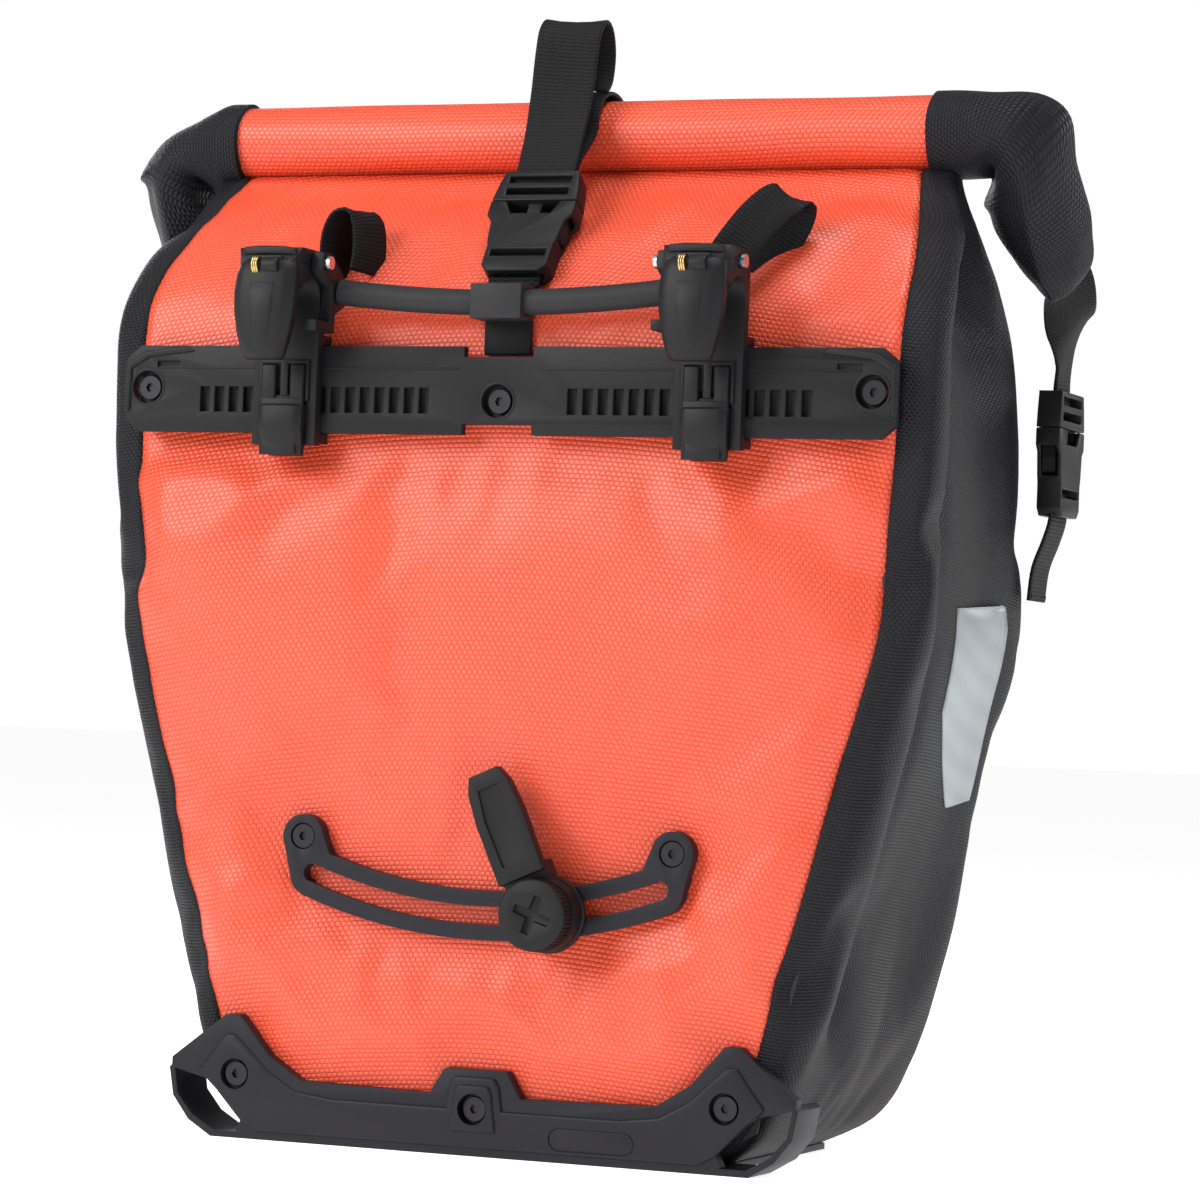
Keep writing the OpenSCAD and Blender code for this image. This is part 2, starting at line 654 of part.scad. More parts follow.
back_panel();
front_panel();
gusset_left();
gusset_right();
base_panel();
roll();
roll_end_left();
roll_end_right();
closure_bar();
back_stiffener();
inner_pocket();
reflector_left();
reflector_right();
mounting_rail();
rail_screws();
rail_nuts();
arc_rail();
arc_screws();
arc_nuts();
bottom_guard();
guard_screws();
guard_nuts();
center_tab();
hook_body_left();
hook_body_right();
rail_latch_left();
rail_latch_right();
lock_lever_left();
lock_lever_right();
lever_pin_left();
lever_pin_right();
lever_spring_left();
lever_spring_right();
handle_hose();
handle_core();
hose_clip();
handle_loop_left();
handle_loop_right();
anchor_slider();
anchor_fin();
anchor_knob();
closure_strap();
carry_loop();
center_socket();
center_socket_tab();
center_plug();
center_prong_left();
center_prong_right();
side_strap_lower_left();
side_strap_lower_right();
side_socket_left();
side_socket_right();
side_plug_left();
side_plug_right();
side_strap_upper_left();
side_strap_upper_right();
side_prong_left_front();
side_prong_left_rear();
side_prong_right_front();
side_prong_right_rear();
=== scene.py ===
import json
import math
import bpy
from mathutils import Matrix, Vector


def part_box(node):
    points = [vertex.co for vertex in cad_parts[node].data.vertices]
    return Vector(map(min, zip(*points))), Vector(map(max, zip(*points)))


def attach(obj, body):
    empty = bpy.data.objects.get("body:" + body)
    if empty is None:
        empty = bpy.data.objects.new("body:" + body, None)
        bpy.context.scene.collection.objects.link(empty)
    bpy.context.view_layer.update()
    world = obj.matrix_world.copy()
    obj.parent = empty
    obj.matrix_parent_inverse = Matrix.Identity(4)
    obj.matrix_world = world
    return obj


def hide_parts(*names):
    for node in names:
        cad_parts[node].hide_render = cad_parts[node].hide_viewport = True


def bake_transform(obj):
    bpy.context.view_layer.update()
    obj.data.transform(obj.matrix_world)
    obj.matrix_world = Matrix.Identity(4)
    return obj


bl_info = {
    "name": "Roll-top bicycle pannier",
    "version": (1, 0, 0),
    "blender": (4, 5, 0),
    "location": "View3D > Sidebar > Pannier",
    "description": "Builds the fabric, webbing, fittings and studio of a roll-top bicycle pannier",
    "category": "Object",
}

import bmesh
import bpy
import numpy as np
from mathutils import Matrix, Vector, noise
from mathutils.bvhtree import BVHTree

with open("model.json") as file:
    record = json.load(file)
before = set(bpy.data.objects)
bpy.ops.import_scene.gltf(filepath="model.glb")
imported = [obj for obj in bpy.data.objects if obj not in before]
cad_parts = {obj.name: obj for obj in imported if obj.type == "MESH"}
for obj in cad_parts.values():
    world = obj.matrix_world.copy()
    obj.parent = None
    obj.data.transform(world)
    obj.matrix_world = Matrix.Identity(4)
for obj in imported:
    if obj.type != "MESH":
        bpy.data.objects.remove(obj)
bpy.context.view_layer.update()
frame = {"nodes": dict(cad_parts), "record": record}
NODES = frame["nodes"]
BODY_OF = {
    node: body
    for body, members in frame["record"]["behaviour"]["bodies"].items()
    for node in members
}
SLOT_OF = {part["node"]: part["material_slot"] for part in frame["record"]["subparts"]}
MM = 0.001
WEAVE = "Weave"

ROLL_LOW, ROLL_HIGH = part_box("roll")
RAIL_LOW, RAIL_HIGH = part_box("mounting_rail")
FACE_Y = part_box("back_panel")[0].y
FAR_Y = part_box("front_panel")[1].y
ROLL_MID = (ROLL_LOW + ROLL_HIGH) / 2
ROLL_R = (ROLL_HIGH.z - ROLL_LOW.z) / 2


# ---- settings that a user may change ----


def length(name, text, default):
    """A length in metres that shows in the sidebar."""
    return bpy.props.FloatProperty(
        name=name, description=text, default=default, unit="LENGTH", min=0.0, precision=4
    )


def colour(name, text, default):
    """A colour that shows in the sidebar."""
    return bpy.props.FloatVectorProperty(
        name=name, description=text, default=default, subtype="COLOR", size=3, min=0, max=1
    )


class PannierFabric(bpy.types.PropertyGroup):
    """Sizes and colours of the cloth."""

    coral: colour("Panel colour", "Coated fabric of the panels and the roll", (0.85, 0.078, 0.021))
    black: colour("Side colour", "Coarse woven fabric of the sides", (0.0070, 0.0070, 0.0090))
    cell: length("Cell pitch", "Spacing of the embossed cells of the panels", 0.0023)
    side_cell: length("Side cell pitch", "Spacing of the weave of the sides", 0.0021)
    wrap: length("Side wrap", "How far the side fabric wraps on to the faces", 0.0135)
    quad: length("Cloth grid", "Spacing of the points of the fabric shell", 0.0062)
    skin: length("Fabric thickness", "Thickness of the fabric", 0.0012)
    fold_depth: length("Fold depth", "How far the folds of the rack face stand out", 0.0110)
    most_move: length("Most cloth move", "How far the simulation may move a point", 0.009)


class PannierTrim(bpy.types.PropertyGroup):
    """Colours of the fittings and the straps."""

    charcoal: colour("Fitting colour", "Moulded hooks, rail and buckles", (0.0085, 0.0085, 0.0098))
    slate: colour("Guard colour", "Moulded arc rail and bottom guard", (0.0120, 0.0123, 0.0175))
    webbing: colour("Webbing colour", "Nylon straps", (0.0035, 0.0035, 0.0042))
    film: colour("Reflector colour", "Reflective patches", (0.30, 0.33, 0.35))
    edge: length("Edge radius", "Rounding of the moulded edges", 0.0007)


class PannierStage(bpy.types.PropertyGroup):
    """Camera placement and lens."""

    distance: length("Camera distance", "From the aim point to the camera", 1.675)
    aim_height: length("Aim height", "Height of the aim point", 0.2146)
    aim_right: length("Aim right", "How far the aim point lies to the right of the middle", 0.0385)
    azimuth: bpy.props.FloatProperty(
        name="Azimuth", description="Turn of the camera from the rack side", default=math.radians(22),
        unit="ROTATION",
    )
    pitch: bpy.props.FloatProperty(
        name="Pitch", description="Camera height over the aim point, as an angle", default=math.radians(-1.7),
        unit="ROTATION",
    )
    roll: bpy.props.FloatProperty(
        name="Roll", description="Tilt of the camera about its axis", default=math.radians(-2.2),
        unit="ROTATION",
    )
    lens: bpy.props.FloatProperty(name="Lens", description="Focal length in millimetres", default=130.6)


# ---- materials ----


class Wire:
    """A shader value; arithmetic on it adds Math nodes."""

    def __init__(self, paint, socket):
        self.paint = paint
        self.socket = socket

    def math(self, operation, *others):
        """Adds a Math node of this operation."""
        return self.paint.node("ShaderNodeMath", {"operation": operation}, [self, *others])

    def __add__(self, other):
        return self.math("ADD", other)

    def __sub__(self, other):
        return self.math("SUBTRACT", other)

    def __mul__(self, other):
        return self.math("MULTIPLY", other)

    def __pow__(self, other):
        return self.math("POWER", other)

    def __rsub__(self, other):
        return self.paint.node("ShaderNodeMath", {"operation": "SUBTRACT"}, [other, self])

    __radd__ = __add__
    __rmul__ = __mul__

    def sine(self):
        return self.math("SINE")

    def whole(self):
        """Rounded down."""
        return self.math("FLOOR")

    def part(self):
        """What rounding down takes off."""
        return self.math("FRACT")

    def between(self, low, high):
        """Held between two limits."""
        return self.math("MAXIMUM", low).math("MINIMUM", high)


class Paint:
    """A new material and the nodes in it."""

    def __init__(self, name, **constants):
        self.material = bpy.data.materials.new(name)
        self.material.use_nodes = True
        self.tree = self.material.node_tree
        self.shader = self.tree.nodes["Principled BSDF"]
        for key, value in constants.items():
            self.shader.inputs[key.replace("_", " ")].default_value = value

    def node(self, kind, settings=None, values=(), output=0):
        """A node of any kind; values are the values or links of its sockets."""
        made = self.tree.nodes.new(kind)
        for key, value in (settings or {}).items():
            setattr(made, key, value)
        for key, value in (values.items() if isinstance(values, dict) else enumerate(values)):
            self.put(made.inputs[key], value)
        return Wire(self, made.outputs[output])

    def put(self, socket, value):
        """Links a wire to a socket, or sets its value."""
        if isinstance(value, Wire):
            self.tree.links.new(value.socket, socket)
        else:
            socket.default_value = value

    def set(self, **links):
        """Sets or links inputs of the surface, by their names."""
        for key, value in links.items():
            self.put(self.shader.inputs[key.replace("_", " ")], value)

    def split(self, vector):
        """The X, Y and Z of a vector."""
        parts = self.node("ShaderNodeSeparateXYZ", {}, [vector]).socket.node
        return [Wire(self, s) for s in parts.outputs]

    def place(self):
        """Position on the piece."""
        return self.node("ShaderNodeTexCoord", output="Object")

    def weave_place(self):
        """Position on the weave map, in metres."""
        return self.node("ShaderNodeUVMap", {"uv_map": WEAVE})

    def speckle(self, scale, detail):
        """Noise of about this many spots to the metre."""
        values = {"Scale": scale, "Detail": detail, "Vector": self.place()}
        return self.node("ShaderNodeTexNoise", {"noise_dimensions": "3D"}, values)

    def mix(self, factor, dark, light):
        """From dark to light colour as the factor rises."""
        values = {0: factor, 6: (*dark, 1), 7: (*light, 1)}
        return self.node("ShaderNodeMix", {"data_type": "RGBA"}, values, output=2)

    def bump(self, height, distance, strength):
        """A normal from a height, scaled by a distance in metres."""
        return self.node("ShaderNodeBump", {}, {"Height": height, "Distance": distance, "Strength": strength})


MATERIALS = {}
RIB_PITCH, RIB_SWAY, THREAD_PITCH = 0.00155, 0.0021, 0.0011
STREAK_PITCH = 0.012


def scaled(shade, factor):
    """A colour made darker or lighter."""
    return tuple(c * factor for c in shade)


def cells(paint, pitch, ratio=0.8):
    """Height of a brick-like pattern of rounded cells on the piece's weave map."""
    across, along, _ = paint.split(paint.weave_place())
    row = along * (1 / (pitch * ratio))
    shift = (row.whole() * 0.5).part()
    column = across * (1 / pitch) + shift
    dome = (column.part() * math.pi).sine() * (row.part() * math.pi).sine()
    return dome.between(0.0, 1.0) ** 0.55


def coated_panel(shade, pitch):
    """Glossy coated fabric with embossed cells."""
    paint = Paint("coral_coated_fabric", Specular_IOR_Level=0.5, Coat_Roughness=0.34, Coat_IOR=1.5)
    height = cells(paint, pitch)
    cloud = paint.speckle(9.0, 3.0)
    fine = paint.speckle(900.0, 2.0)
    # Base colour follows the cell height: painted shade in the grooves between cells and a paler painted
    # highlight on the cell tops, mixed with random cloudy tone of the fabric.
    dark = tuple(c * k for c, k in zip(shade, (0.80, 0.42, 0.34)))
    light = tuple(min(1.0, c * k + a) for c, k, a in zip(shade, (1.0, 1.22, 1.30), (0.02, 0.01, 0.01)))
    cell_shade_and_cloud = (height * 0.72 + cloud * 0.28).between(0.0, 1.0)
    paint.set(
        Base_Color=paint.mix(cell_shade_and_cloud, dark, light),
        Roughness=(0.50 - height * 0.16 + fine * 0.05),
        Coat_Weight=(height * 0.34 + 0.22),
        Normal=paint.bump(height + fine * 0.10, 0.00042, 0.9),
    )
    return paint.material


def woven_side(shade, pitch):
    """Coarse coated weave of the sides."""
    paint = Paint("black_woven_fabric", Specular_IOR_Level=0.22)
    height = cells(paint, pitch, 0.62)
    cloud = paint.speckle(14.0, 3.0)
    # Base colour follows the weave height: painted shade in the dips of the weave and painted highlight on its
    # raised threads, mixed with random cloudy tone.
    dark = scaled(shade, 0.45)
    light = scaled(shade, 1.9)
    cell_shade_and_cloud = (height * 0.75 + cloud * 0.25).between(0.0, 1.0)
    paint.set(
        Base_Color=paint.mix(cell_shade_and_cloud, dark, light),
        Roughness=0.62 - height * 0.14,
        Normal=paint.bump(height, 0.00045, 0.95),
    )
    return paint.material


def ribbed_webbing(shade):
    """Nylon webbing with ribs across the strap."""
    paint = Paint("black_webbing", Specular_IOR_Level=0.22)
    across, along, _ = paint.split(paint.weave_place())
    sway = (across * (math.pi / RIB_SWAY)).sine() * 0.7
    rib = (along * (2 * math.pi / RIB_PITCH) + sway).sine() * 0.5 + 0.5
    thread = (across * (2 * math.pi / THREAD_PITCH)).sine() * 0.5 + 0.5
    height = rib * 0.7 + thread * 0.3
    # Base colour follows the rib height: painted shade in the grooves between ribs and painted highlight on
    # the raised ribs and threads.
    paint.set(
        Base_Color=paint.mix(height, scaled(shade, 0.4), scaled(shade, 2.2)),
        Roughness=0.72 - height * 0.12,
        Normal=paint.bump(height, 0.00028, 0.9),
    )
    return paint.material


def moulded(name, shade, rough):
    """Satin moulded plastic with a fine spark-eroded grain."""
    paint = Paint(name, Specular_IOR_Level=0.24)
    grain = paint.speckle(2600.0, 2.0)
    cloud = paint.speckle(30.0, 3.0)
    scuff = paint.speckle(260.0, 5.0)
    paint.set(
        Base_Color=paint.mix(cloud, scaled(shade, 0.86), scaled(shade, 1.16)),
        Roughness=grain * 0.10 + scuff * 0.10 + (rough - 0.10),
        Normal=paint.bump(grain + scuff * 0.3, 0.00004, 0.6),
    )
    return paint.material


def metal(name, shade, rough):
    """Turned or drawn metal."""
    paint = Paint(name, Metallic=1.0)
    grain = paint.speckle(1400.0, 3.0)
    paint.set(
        Base_Color=paint.mix(grain, scaled(shade, 0.85), shade),
        Roughness=grain * 0.15 + rough,
        Normal=paint.bump(grain, 0.00002, 0.5),
    )
    return paint.material


def reflective_film(shade):
    """Grey reflective film with a fine honeycomb of beads."""
    paint = Paint("reflective_film", Metallic=0.35, Specular_IOR_Level=0.6)
    _, along, up = paint.split(paint.place())
    beads = paint.node("ShaderNodeTexVoronoi", {"feature": "F1"}, {"Vector": paint.place(), "Scale": 700.0})
    streak = ((up + along * 0.25) * (2 * math.pi / STREAK_PITCH)).sine() * 0.5 + 0.5
    paint.set(
        Base_Color=paint.mix(streak * 0.35 + beads * 0.5, scaled(shade, 0.86), scaled(shade, 1.2)),
        Roughness=beads * 0.2 + 0.32,
        Normal=paint.bump(beads, 0.00005, 0.5),
    )
    return paint.material


def make_materials(fabric, trim):
    """All the finishes, by the record's slot names."""
    MATERIALS.update(
        coral_fabric=coated_panel(fabric.coral, fabric.cell),
        black_fabric=woven_side(fabric.black, fabric.side_cell),
        black_webbing=ribbed_webbing(trim.webbing),
        charcoal_plastic=moulded("charcoal_plastic", trim.charcoal, 0.50),
        slate_plastic=moulded("slate_plastic", trim.slate, 0.46),
        stiffener_sheet=moulded("stiffener_sheet", (0.02, 0.02, 0.021), 0.55),
        hose_rubber=moulded("hose_rubber", (0.022, 0.022, 0.024), 0.58),
        black_screw_steel=metal("black_screw_steel", (0.045, 0.045, 0.048), 0.30),
        bright_steel=metal("bright_steel", (0.72, 0.72, 0.74), 0.22),
        spring_brass=metal("spring_brass", (0.78, 0.56, 0.22), 0.22),
        reflective_film=reflective_film(trim.film),
        thread=moulded("stitch_thread", (0.05, 0.05, 0.052), 0.6),
    )


# ---- mesh helpers ----


def new_piece(name, points, faces, slot_name, body, weave=None):
    """A mesh object with its finish, on its body."""
    mesh = bpy.data.meshes.new(name)
    mesh.from_pydata([tuple(p) for p in points], [], faces)
    if weave is not None:
        layer = mesh.uv_layers.new(name=WEAVE)
        flat = np.array([weave[v] for f in faces for v in f], dtype=np.float32)
        layer.data.foreach_set("uv", flat.ravel())
    obj = in_scene(name, mesh)
    shade_smooth(obj)
    return finish_piece(obj, slot_name, body)


def in_scene(name, data):
    """A new object in the scene."""
    obj = bpy.data.objects.new(name, data)
    bpy.context.scene.collection.objects.link(obj)
    return obj


def shade_smooth(obj, sharp_angle=None):
    """Smooth shading, with edges over an angle in degrees kept sharp."""
    obj.data.polygons.foreach_set("use_smooth", [True] * len(obj.data.polygons))
    if sharp_angle:
        obj.data.set_sharp_from_angle(angle=math.radians(sharp_angle))


def grid_faces(rows, columns):
    """The quads of a grid whose points run along its rows."""
    wide = columns + 1
    return [
        (j * wide + k, j * wide + k + 1, (j + 1) * wide + k + 1, (j + 1) * wide + k)
        for j in range(rows) for k in range(columns)
    ]


def ring_faces(rows, count):
    """The quads between rings of points, one after another."""
    return [
        (j * count + i, j * count + (i + 1) % count, (j + 1) * count + (i + 1) % count, (j + 1) * count + i)
        for j in range(rows) for i in range(count)
    ]


def turned_over(faces):
    """The same quads seen from their other side, from the same first corner."""
    return [(a, d, c, b) for a, b, c, d in faces]


def on_circle(radius, count):
    """Points about the origin at equal angles, as pairs."""
    turns = [2 * math.pi * i / count for i in range(count)]
    return [(radius * math.cos(a), radius * math.sin(a)) for a in turns]


def thicken(obj, thickness, offset):
    """Gives a sheet its thickness."""
    wall = obj.modifiers.new("Wall", "SOLIDIFY")
    wall.thickness = thickness
    wall.offset = offset
    return apply_modifiers(obj)


def round_edges(obj, width, segments, over, sharp_angle):
    """Bevels the edges over an angle in degrees, then shades the piece smooth."""
    bevel = obj.modifiers.new("Edge", "BEVEL")
    bevel.width = width
    bevel.segments = segments
    bevel.limit_method = "ANGLE"
    bevel.angle_limit = math.radians(over)
    apply_modifiers(obj)
    shade_smooth(obj, sharp_angle)


def finish_piece(obj, slot_name, body):
    """Gives a piece its finish and its body."""
    obj.data.materials.clear()
    obj.data.materials.append(MATERIALS[slot_name])
    if body:
        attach(obj, body)
    slot_name != "thread"
    return obj


def apply_modifiers(obj):
    """Replaces the mesh with the result of its modifiers."""
    bpy.context.view_layer.update()
    graph = bpy.context.evaluated_depsgraph_get()
    made = bpy.data.meshes.new_from_object(
        obj.evaluated_get(graph), preserve_all_data_layers=True, depsgraph=graph
    )
    old = obj.data
    obj.modifiers.clear()
    obj.data = made
    bpy.data.meshes.remove(old)
    return obj


def soften(node, name, edge, segments=2):
    """A copy of a fitting with rounded edges, which stands for it."""
    mesh = NODES[node].data.copy()
    work = bmesh.new()
    work.from_mesh(mesh)
    bmesh.ops.remove_doubles(work, verts=work.verts, dist=2e-6)
    bmesh.ops.dissolve_limit(work, angle_limit=math.radians(0.6), verts=work.verts, edges=work.edges)
    work.to_mesh(mesh)
    work.free()
    obj = in_scene(name, mesh)
    round_edges(obj, edge, segments, 34, 38)
    finish_piece(obj, SLOT_OF[node], BODY_OF[node])
    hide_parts(node)
    return obj


def tube(name, rings, slot_name, body, woven=False):
    """A closed skin over a list of rings of points, each with the same number of points."""
    count = len(rings[0])
    points = [p for ring in rings for p in ring]
    last = (len(rings) - 1) * count
    faces = ring_faces(len(rings) - 1, count)
    faces.append(tuple(range(count - 1, -1, -1)))
    faces.append(tuple(last + i for i in range(count)))
    weave = ring_weave(rings) if woven else None
    obj = new_piece(name, points, faces, slot_name, body, weave)
    fix_outward(obj)
    return obj


def ring_weave(rings):
    """Weave map of a skin over rings: the distance round each ring and the distance along them."""
    weave = []
    run = 0.0
    for j, ring in enumerate(rings):
        if j:
            run += (ring[0] - rings[j - 1][0]).length
        around = 0.0
        for i, p in enumerate(ring):
            weave.append((around, run))
            around += (ring[(i + 1) % len(ring)] - p).length
    return weave


def smooth_line(points, step):
    """Points a step apart on a smooth line through the given ones."""
    pts = [Vector(p) for p in points]
    line = []
    for i in range(len(pts) - 1):
        count = max(2, int((pts[i + 1] - pts[i]).length / step))
        line += [blended(pts, i + k / count) for k in range(count)]
    return line + [pts[-1]]


def blended(values, place):
    """The value at a place in a list of vectors, on a smooth line through them."""
    i = min(int(place), len(values) - 2)
    t = place - i
    a, b = values[i], values[i + 1]
    before, after = values[max(i - 1, 0)], values[min(i + 2, len(values) - 1)]
    return 0.5 * (2 * a + (b - before) * t + (2 * before - 5 * a + 4 * b - after) * t * t
                  + (3 * a - before - 3 * b + after) * t ** 3)


def strap(name, line, across, width, thick, body, curl=0.0):
    """Webbing that follows a line; across is the direction of its width, or one for each point."""
    points, weave = [], []
    half = [(-0.5, -0.32), (-0.47, -0.5), (-0.25, -0.5), (0, -0.5), (0.25, -0.5), (0.47, -0.5), (0.5, -0.32)]
    cross = half + [(-u, -v) for u, v in half]
    run = 0.0
    for j, p in enumerate(line):
        ahead = line[min(j + 1, len(line) - 1)] - line[max(j - 1, 0)]
        if j:
            run += (line[j] - line[j - 1]).length
        side = Vector(across[j] if isinstance(across, list) else across).normalized()
        out = ahead.cross(side).normalized()
        side = out.cross(ahead).normalized()
        for u, v in cross:
            bend = curl * (1 - (2 * u) ** 2)
            points.append(p + side * (u * width) + out * (v * thick + bend))
            weave.append((u * width, run))
    count = len(cross)
    last = (len(line) - 1) * count
    faces = turned_over(ring_faces(len(line) - 1, count))
    faces.append(tuple(range(count)))
    faces.append(tuple(last + i for i in range(count - 1, -1, -1)))
    return new_piece(name, points, faces, "black_webbing", body, weave)


# ---- fabric shell ----


def along(path, z):
    """The value at height z on a path of (height, value) pairs."""
    heights = [p[0] for p in path]
    return float(np.interp(z, heights, [p[1] for p in path]))


def eased(path, z, reach=0.012):
    """The same, with its corners eased."""
    return sum(along(path, z + reach * k / 4) for k in range(-4, 5)) / 9


TOP_Z = 0.386
LOW_Z = 0.003
FLARE = 0.0058
TAPER = 0.006
PINCH, THROAT_PINCH = 0.0115, 0.015
CORNER_R = 0.009
BASE_R_SIDE, BASE_R_RACK, BASE_R_STREET = 0.010, 0.004, 0.030
FACE_SPAN, SIDE_SPAN = 0.29, 0.19
HALF_WIDTH = [
    (0.0, 0.104), (0.03, 0.1215), (0.10, 0.1405), (0.205, 0.1655), (0.30, 0.169), (0.338, 0.1685),
    (TOP_Z, 0.157),
]
RACK_Y = [
    (0.0, FACE_Y), (0.317, FACE_Y), (0.33, FACE_Y + 0.0055), (0.352, FACE_Y + 0.024),
    (TOP_Z, ROLL_MID.y - 0.006),
]
STREET_Y = [
    (0.0, FAR_Y - 0.002), (0.18, FAR_Y), (0.24, FAR_Y - 0.007), (0.29, FAR_Y - 0.019), (0.33, FAR_Y - 0.034),
    (0.36, ROLL_MID.y + 0.026), (TOP_Z, ROLL_MID.y + 0.002),
]


def base_inset(z, radius):
    """How far a rounded bottom edge pulls in at height z."""
    h = min(z - LOW_Z, radius)
    return radius - math.sqrt(max(radius ** 2 - (radius - h) ** 2, 0.0))


def section(z, wrap, columns, side_columns):
    """One ring of the shell: the rack face, the right side, the street face and the left side."""
    w = eased(HALF_WIDTH, z) - base_inset(z, BASE_R_SIDE)
    flare = FLARE * soft_step((z - 0.12) / 0.16) * soft_step((TOP_Z + 0.004 - z) / 0.035)
    front = eased(RACK_Y, z, 0.008) + base_inset(z, BASE_R_RACK)
    back = eased(STREET_Y, z) - base_inset(z, BASE_R_STREET)
    depth = back - front
    r = min(CORNER_R, depth * 0.35)
    throat = max(0.0, min(1.0, (z - 0.255) / 0.105)) ** 1.3
    pinch = (PINCH + THROAT_PINCH * throat) * min(1.0, depth / 0.05) * soft_step((z - 0.02) / 0.06)
    edge = w + flare * 0.5 - wrap
    corner = [
        Vector((w + flare - r + r * math.sin(a), front + r - r * math.cos(a)))
        for a in [math.pi / 2 * k / 6 for k in range(7)]
    ]
    taper = TAPER * soft_step((z - 0.05) / 0.10) * soft_step((TOP_Z - z) / 0.06)
    far = [Vector((p.x - flare - taper, front + back - p.y)) for p in reversed(corner)]
    mid = []
    for k in range(1, 16):
        t = k / 16
        fold = soft_step(t / 0.26) * soft_step((1 - t) / 0.30)
        mid.append(Vector((w + flare * (1 - t) - taper * t - pinch * fold, front + r + (depth - 2 * r) * t)))
    street_edge = edge - flare * 0.5 - taper
    rim = [Vector((edge, front))] + corner + mid + far + [Vector((street_edge, back))]
    lengths = [0.0]
    for a, b in zip(rim, rim[1:]):
        lengths.append(lengths[-1] + (b - a).length)
    side = []
    for k in range(side_columns + 1):
        s = lengths[-1] * k / side_columns
        side.append((
            float(np.interp(s, lengths, [p.x for p in rim])),
            float(np.interp(s, lengths, [p.y for p in rim])),
        ))
    face = [(-edge + 2 * edge * k / columns, front) for k in range(columns + 1)]
    street = [(street_edge - 2 * street_edge * k / columns, back) for k in range(columns + 1)]
    left = [(-x, y) for x, y in reversed(side)]
    return face[:-1] + side[:-1] + street[:-1] + left[:-1]


class Shell:
    """The bag as one cloth, closed all round; each ring of points starts at the rack face's left edge."""

    def __init__(self, fabric):
        self.columns = int(FACE_SPAN / fabric.quad)
        self.side_columns = int(SIDE_SPAN / fabric.quad)
        self.rows = int(TOP_Z / fabric.quad)
        heights = [LOW_Z + (TOP_Z - LOW_Z) * (j / self.rows) for j in range(self.rows + 1)]
        rings = [section(z, fabric.wrap, self.columns, self.side_columns) for z in heights]
        self.count = len(rings[0])
        self.points = [Vector((x, y, z)) for z, ring in zip(heights, rings) for x, y in ring]
        self.faces = ring_faces(self.rows, self.count)
        self.rise = self.distances_up()

    def distances_up(self):
        """How far each point lies up the flat fabric."""
        rise = [0.0] * self.count
        for above, below in zip(self.points[self.count:], self.points):
            rise.append(rise[-self.count] + (above - below).length)
        return rise

    def edges(self):
        """Where the rack face, right side, street face and left side start on a ring, and its end."""
        a, b = self.columns, self.side_columns
        return [0, a, a + b, 2 * a + b, self.count]


def near_segment(p, a, b):
    """Distance in X and Z from p to the segment a to b."""
    p, a, b = Vector((p.x, p.z)), Vector(a), Vector(b)
    t = max(0.0, min(1.0, (p - a).dot(b - a) / (b - a).length_squared))
    return (p - a - (b - a) * t).length


# Where the fittings lie on the rack face, in X and Z.
ARC_C = Vector((0.0, 0.302))
ARC_R = 0.210
ARC_SWING = 21
ARC_SCREW = (0.077, 0.119)
# Lines along the guard, each with its mirror image, and how far from them the cloth is held.
HELD_LINES = [
    ((0.074, 0.012), (0.118, 0.028), 0.013),
    ((0.102, 0.026), (0.104, 0.044), 0.007),
    ((-0.095, 0.008), (0.095, 0.008), 0.014),
    ((0.0, 0.01), (0.0, 0.024), 0.013),
]


def soft_step(value):
    """Rises smoothly from 0 to 1."""
    t = max(0.0, min(1.0, value))
    return t * t * (3 - 2 * t)


def held_down(p, fade=0.022):
    """How firmly the fittings hold the rack face at p, from 0 to 1."""
    if p.y > FACE_Y + 0.05:
        return 0.0
    from_centre = (Vector((p.x, p.z)) - ARC_C).length
    swing = abs(math.degrees(math.atan2(p.x, ARC_C.y - p.z)))
    past_end = max(0.0, swing - ARC_SWING) * 0.004
    gaps = [max(RAIL_LOW.z - p.z, p.z - RAIL_HIGH.z, 0.0), abs(from_centre - ARC_R) - 0.008 + past_end]
    for a, b, reach in HELD_LINES:
        for s in (-1, 1):
            gaps.append(near_segment(p, (s * a[0], a[1]), (s * b[0], b[1])) - reach)
    for s in (-1, 1):
        gaps.append((Vector((p.x, p.z)) - Vector((s * ARC_SCREW[0], ARC_SCREW[1]))).length - 0.010)
    return 1.0 - soft_step(min(gaps) / fade)


def folds(x, z):
    """Outward swell of the rack face: broad hollows and long slanting folds, from 0 to 1."""
    broad = 0.5 + 0.5 * noise.noise(Vector((x * 8.5 + 2.0, z * 9.5, 4.4)))
    lean = x * 0.80 + z * 0.60
    cross = -x * 0.60 + z * 0.80
    slant = 1.0 - abs(noise.noise(Vector((lean * 7.0, cross * 24.0, 1.7)))) * 2.4
    other = 1.0 - abs(noise.noise(Vector(((x * 0.7 - z * 0.7) * 8.0, (x * 0.7 + z * 0.7) * 21.0, 8.2)))) * 2.4
    side = soft_step((abs(x) - 0.03) / 0.09)
    return 0.62 * broad + side * (0.30 * max(0.0, slant) + 0.26 * max(0.0, other)) + 0.05


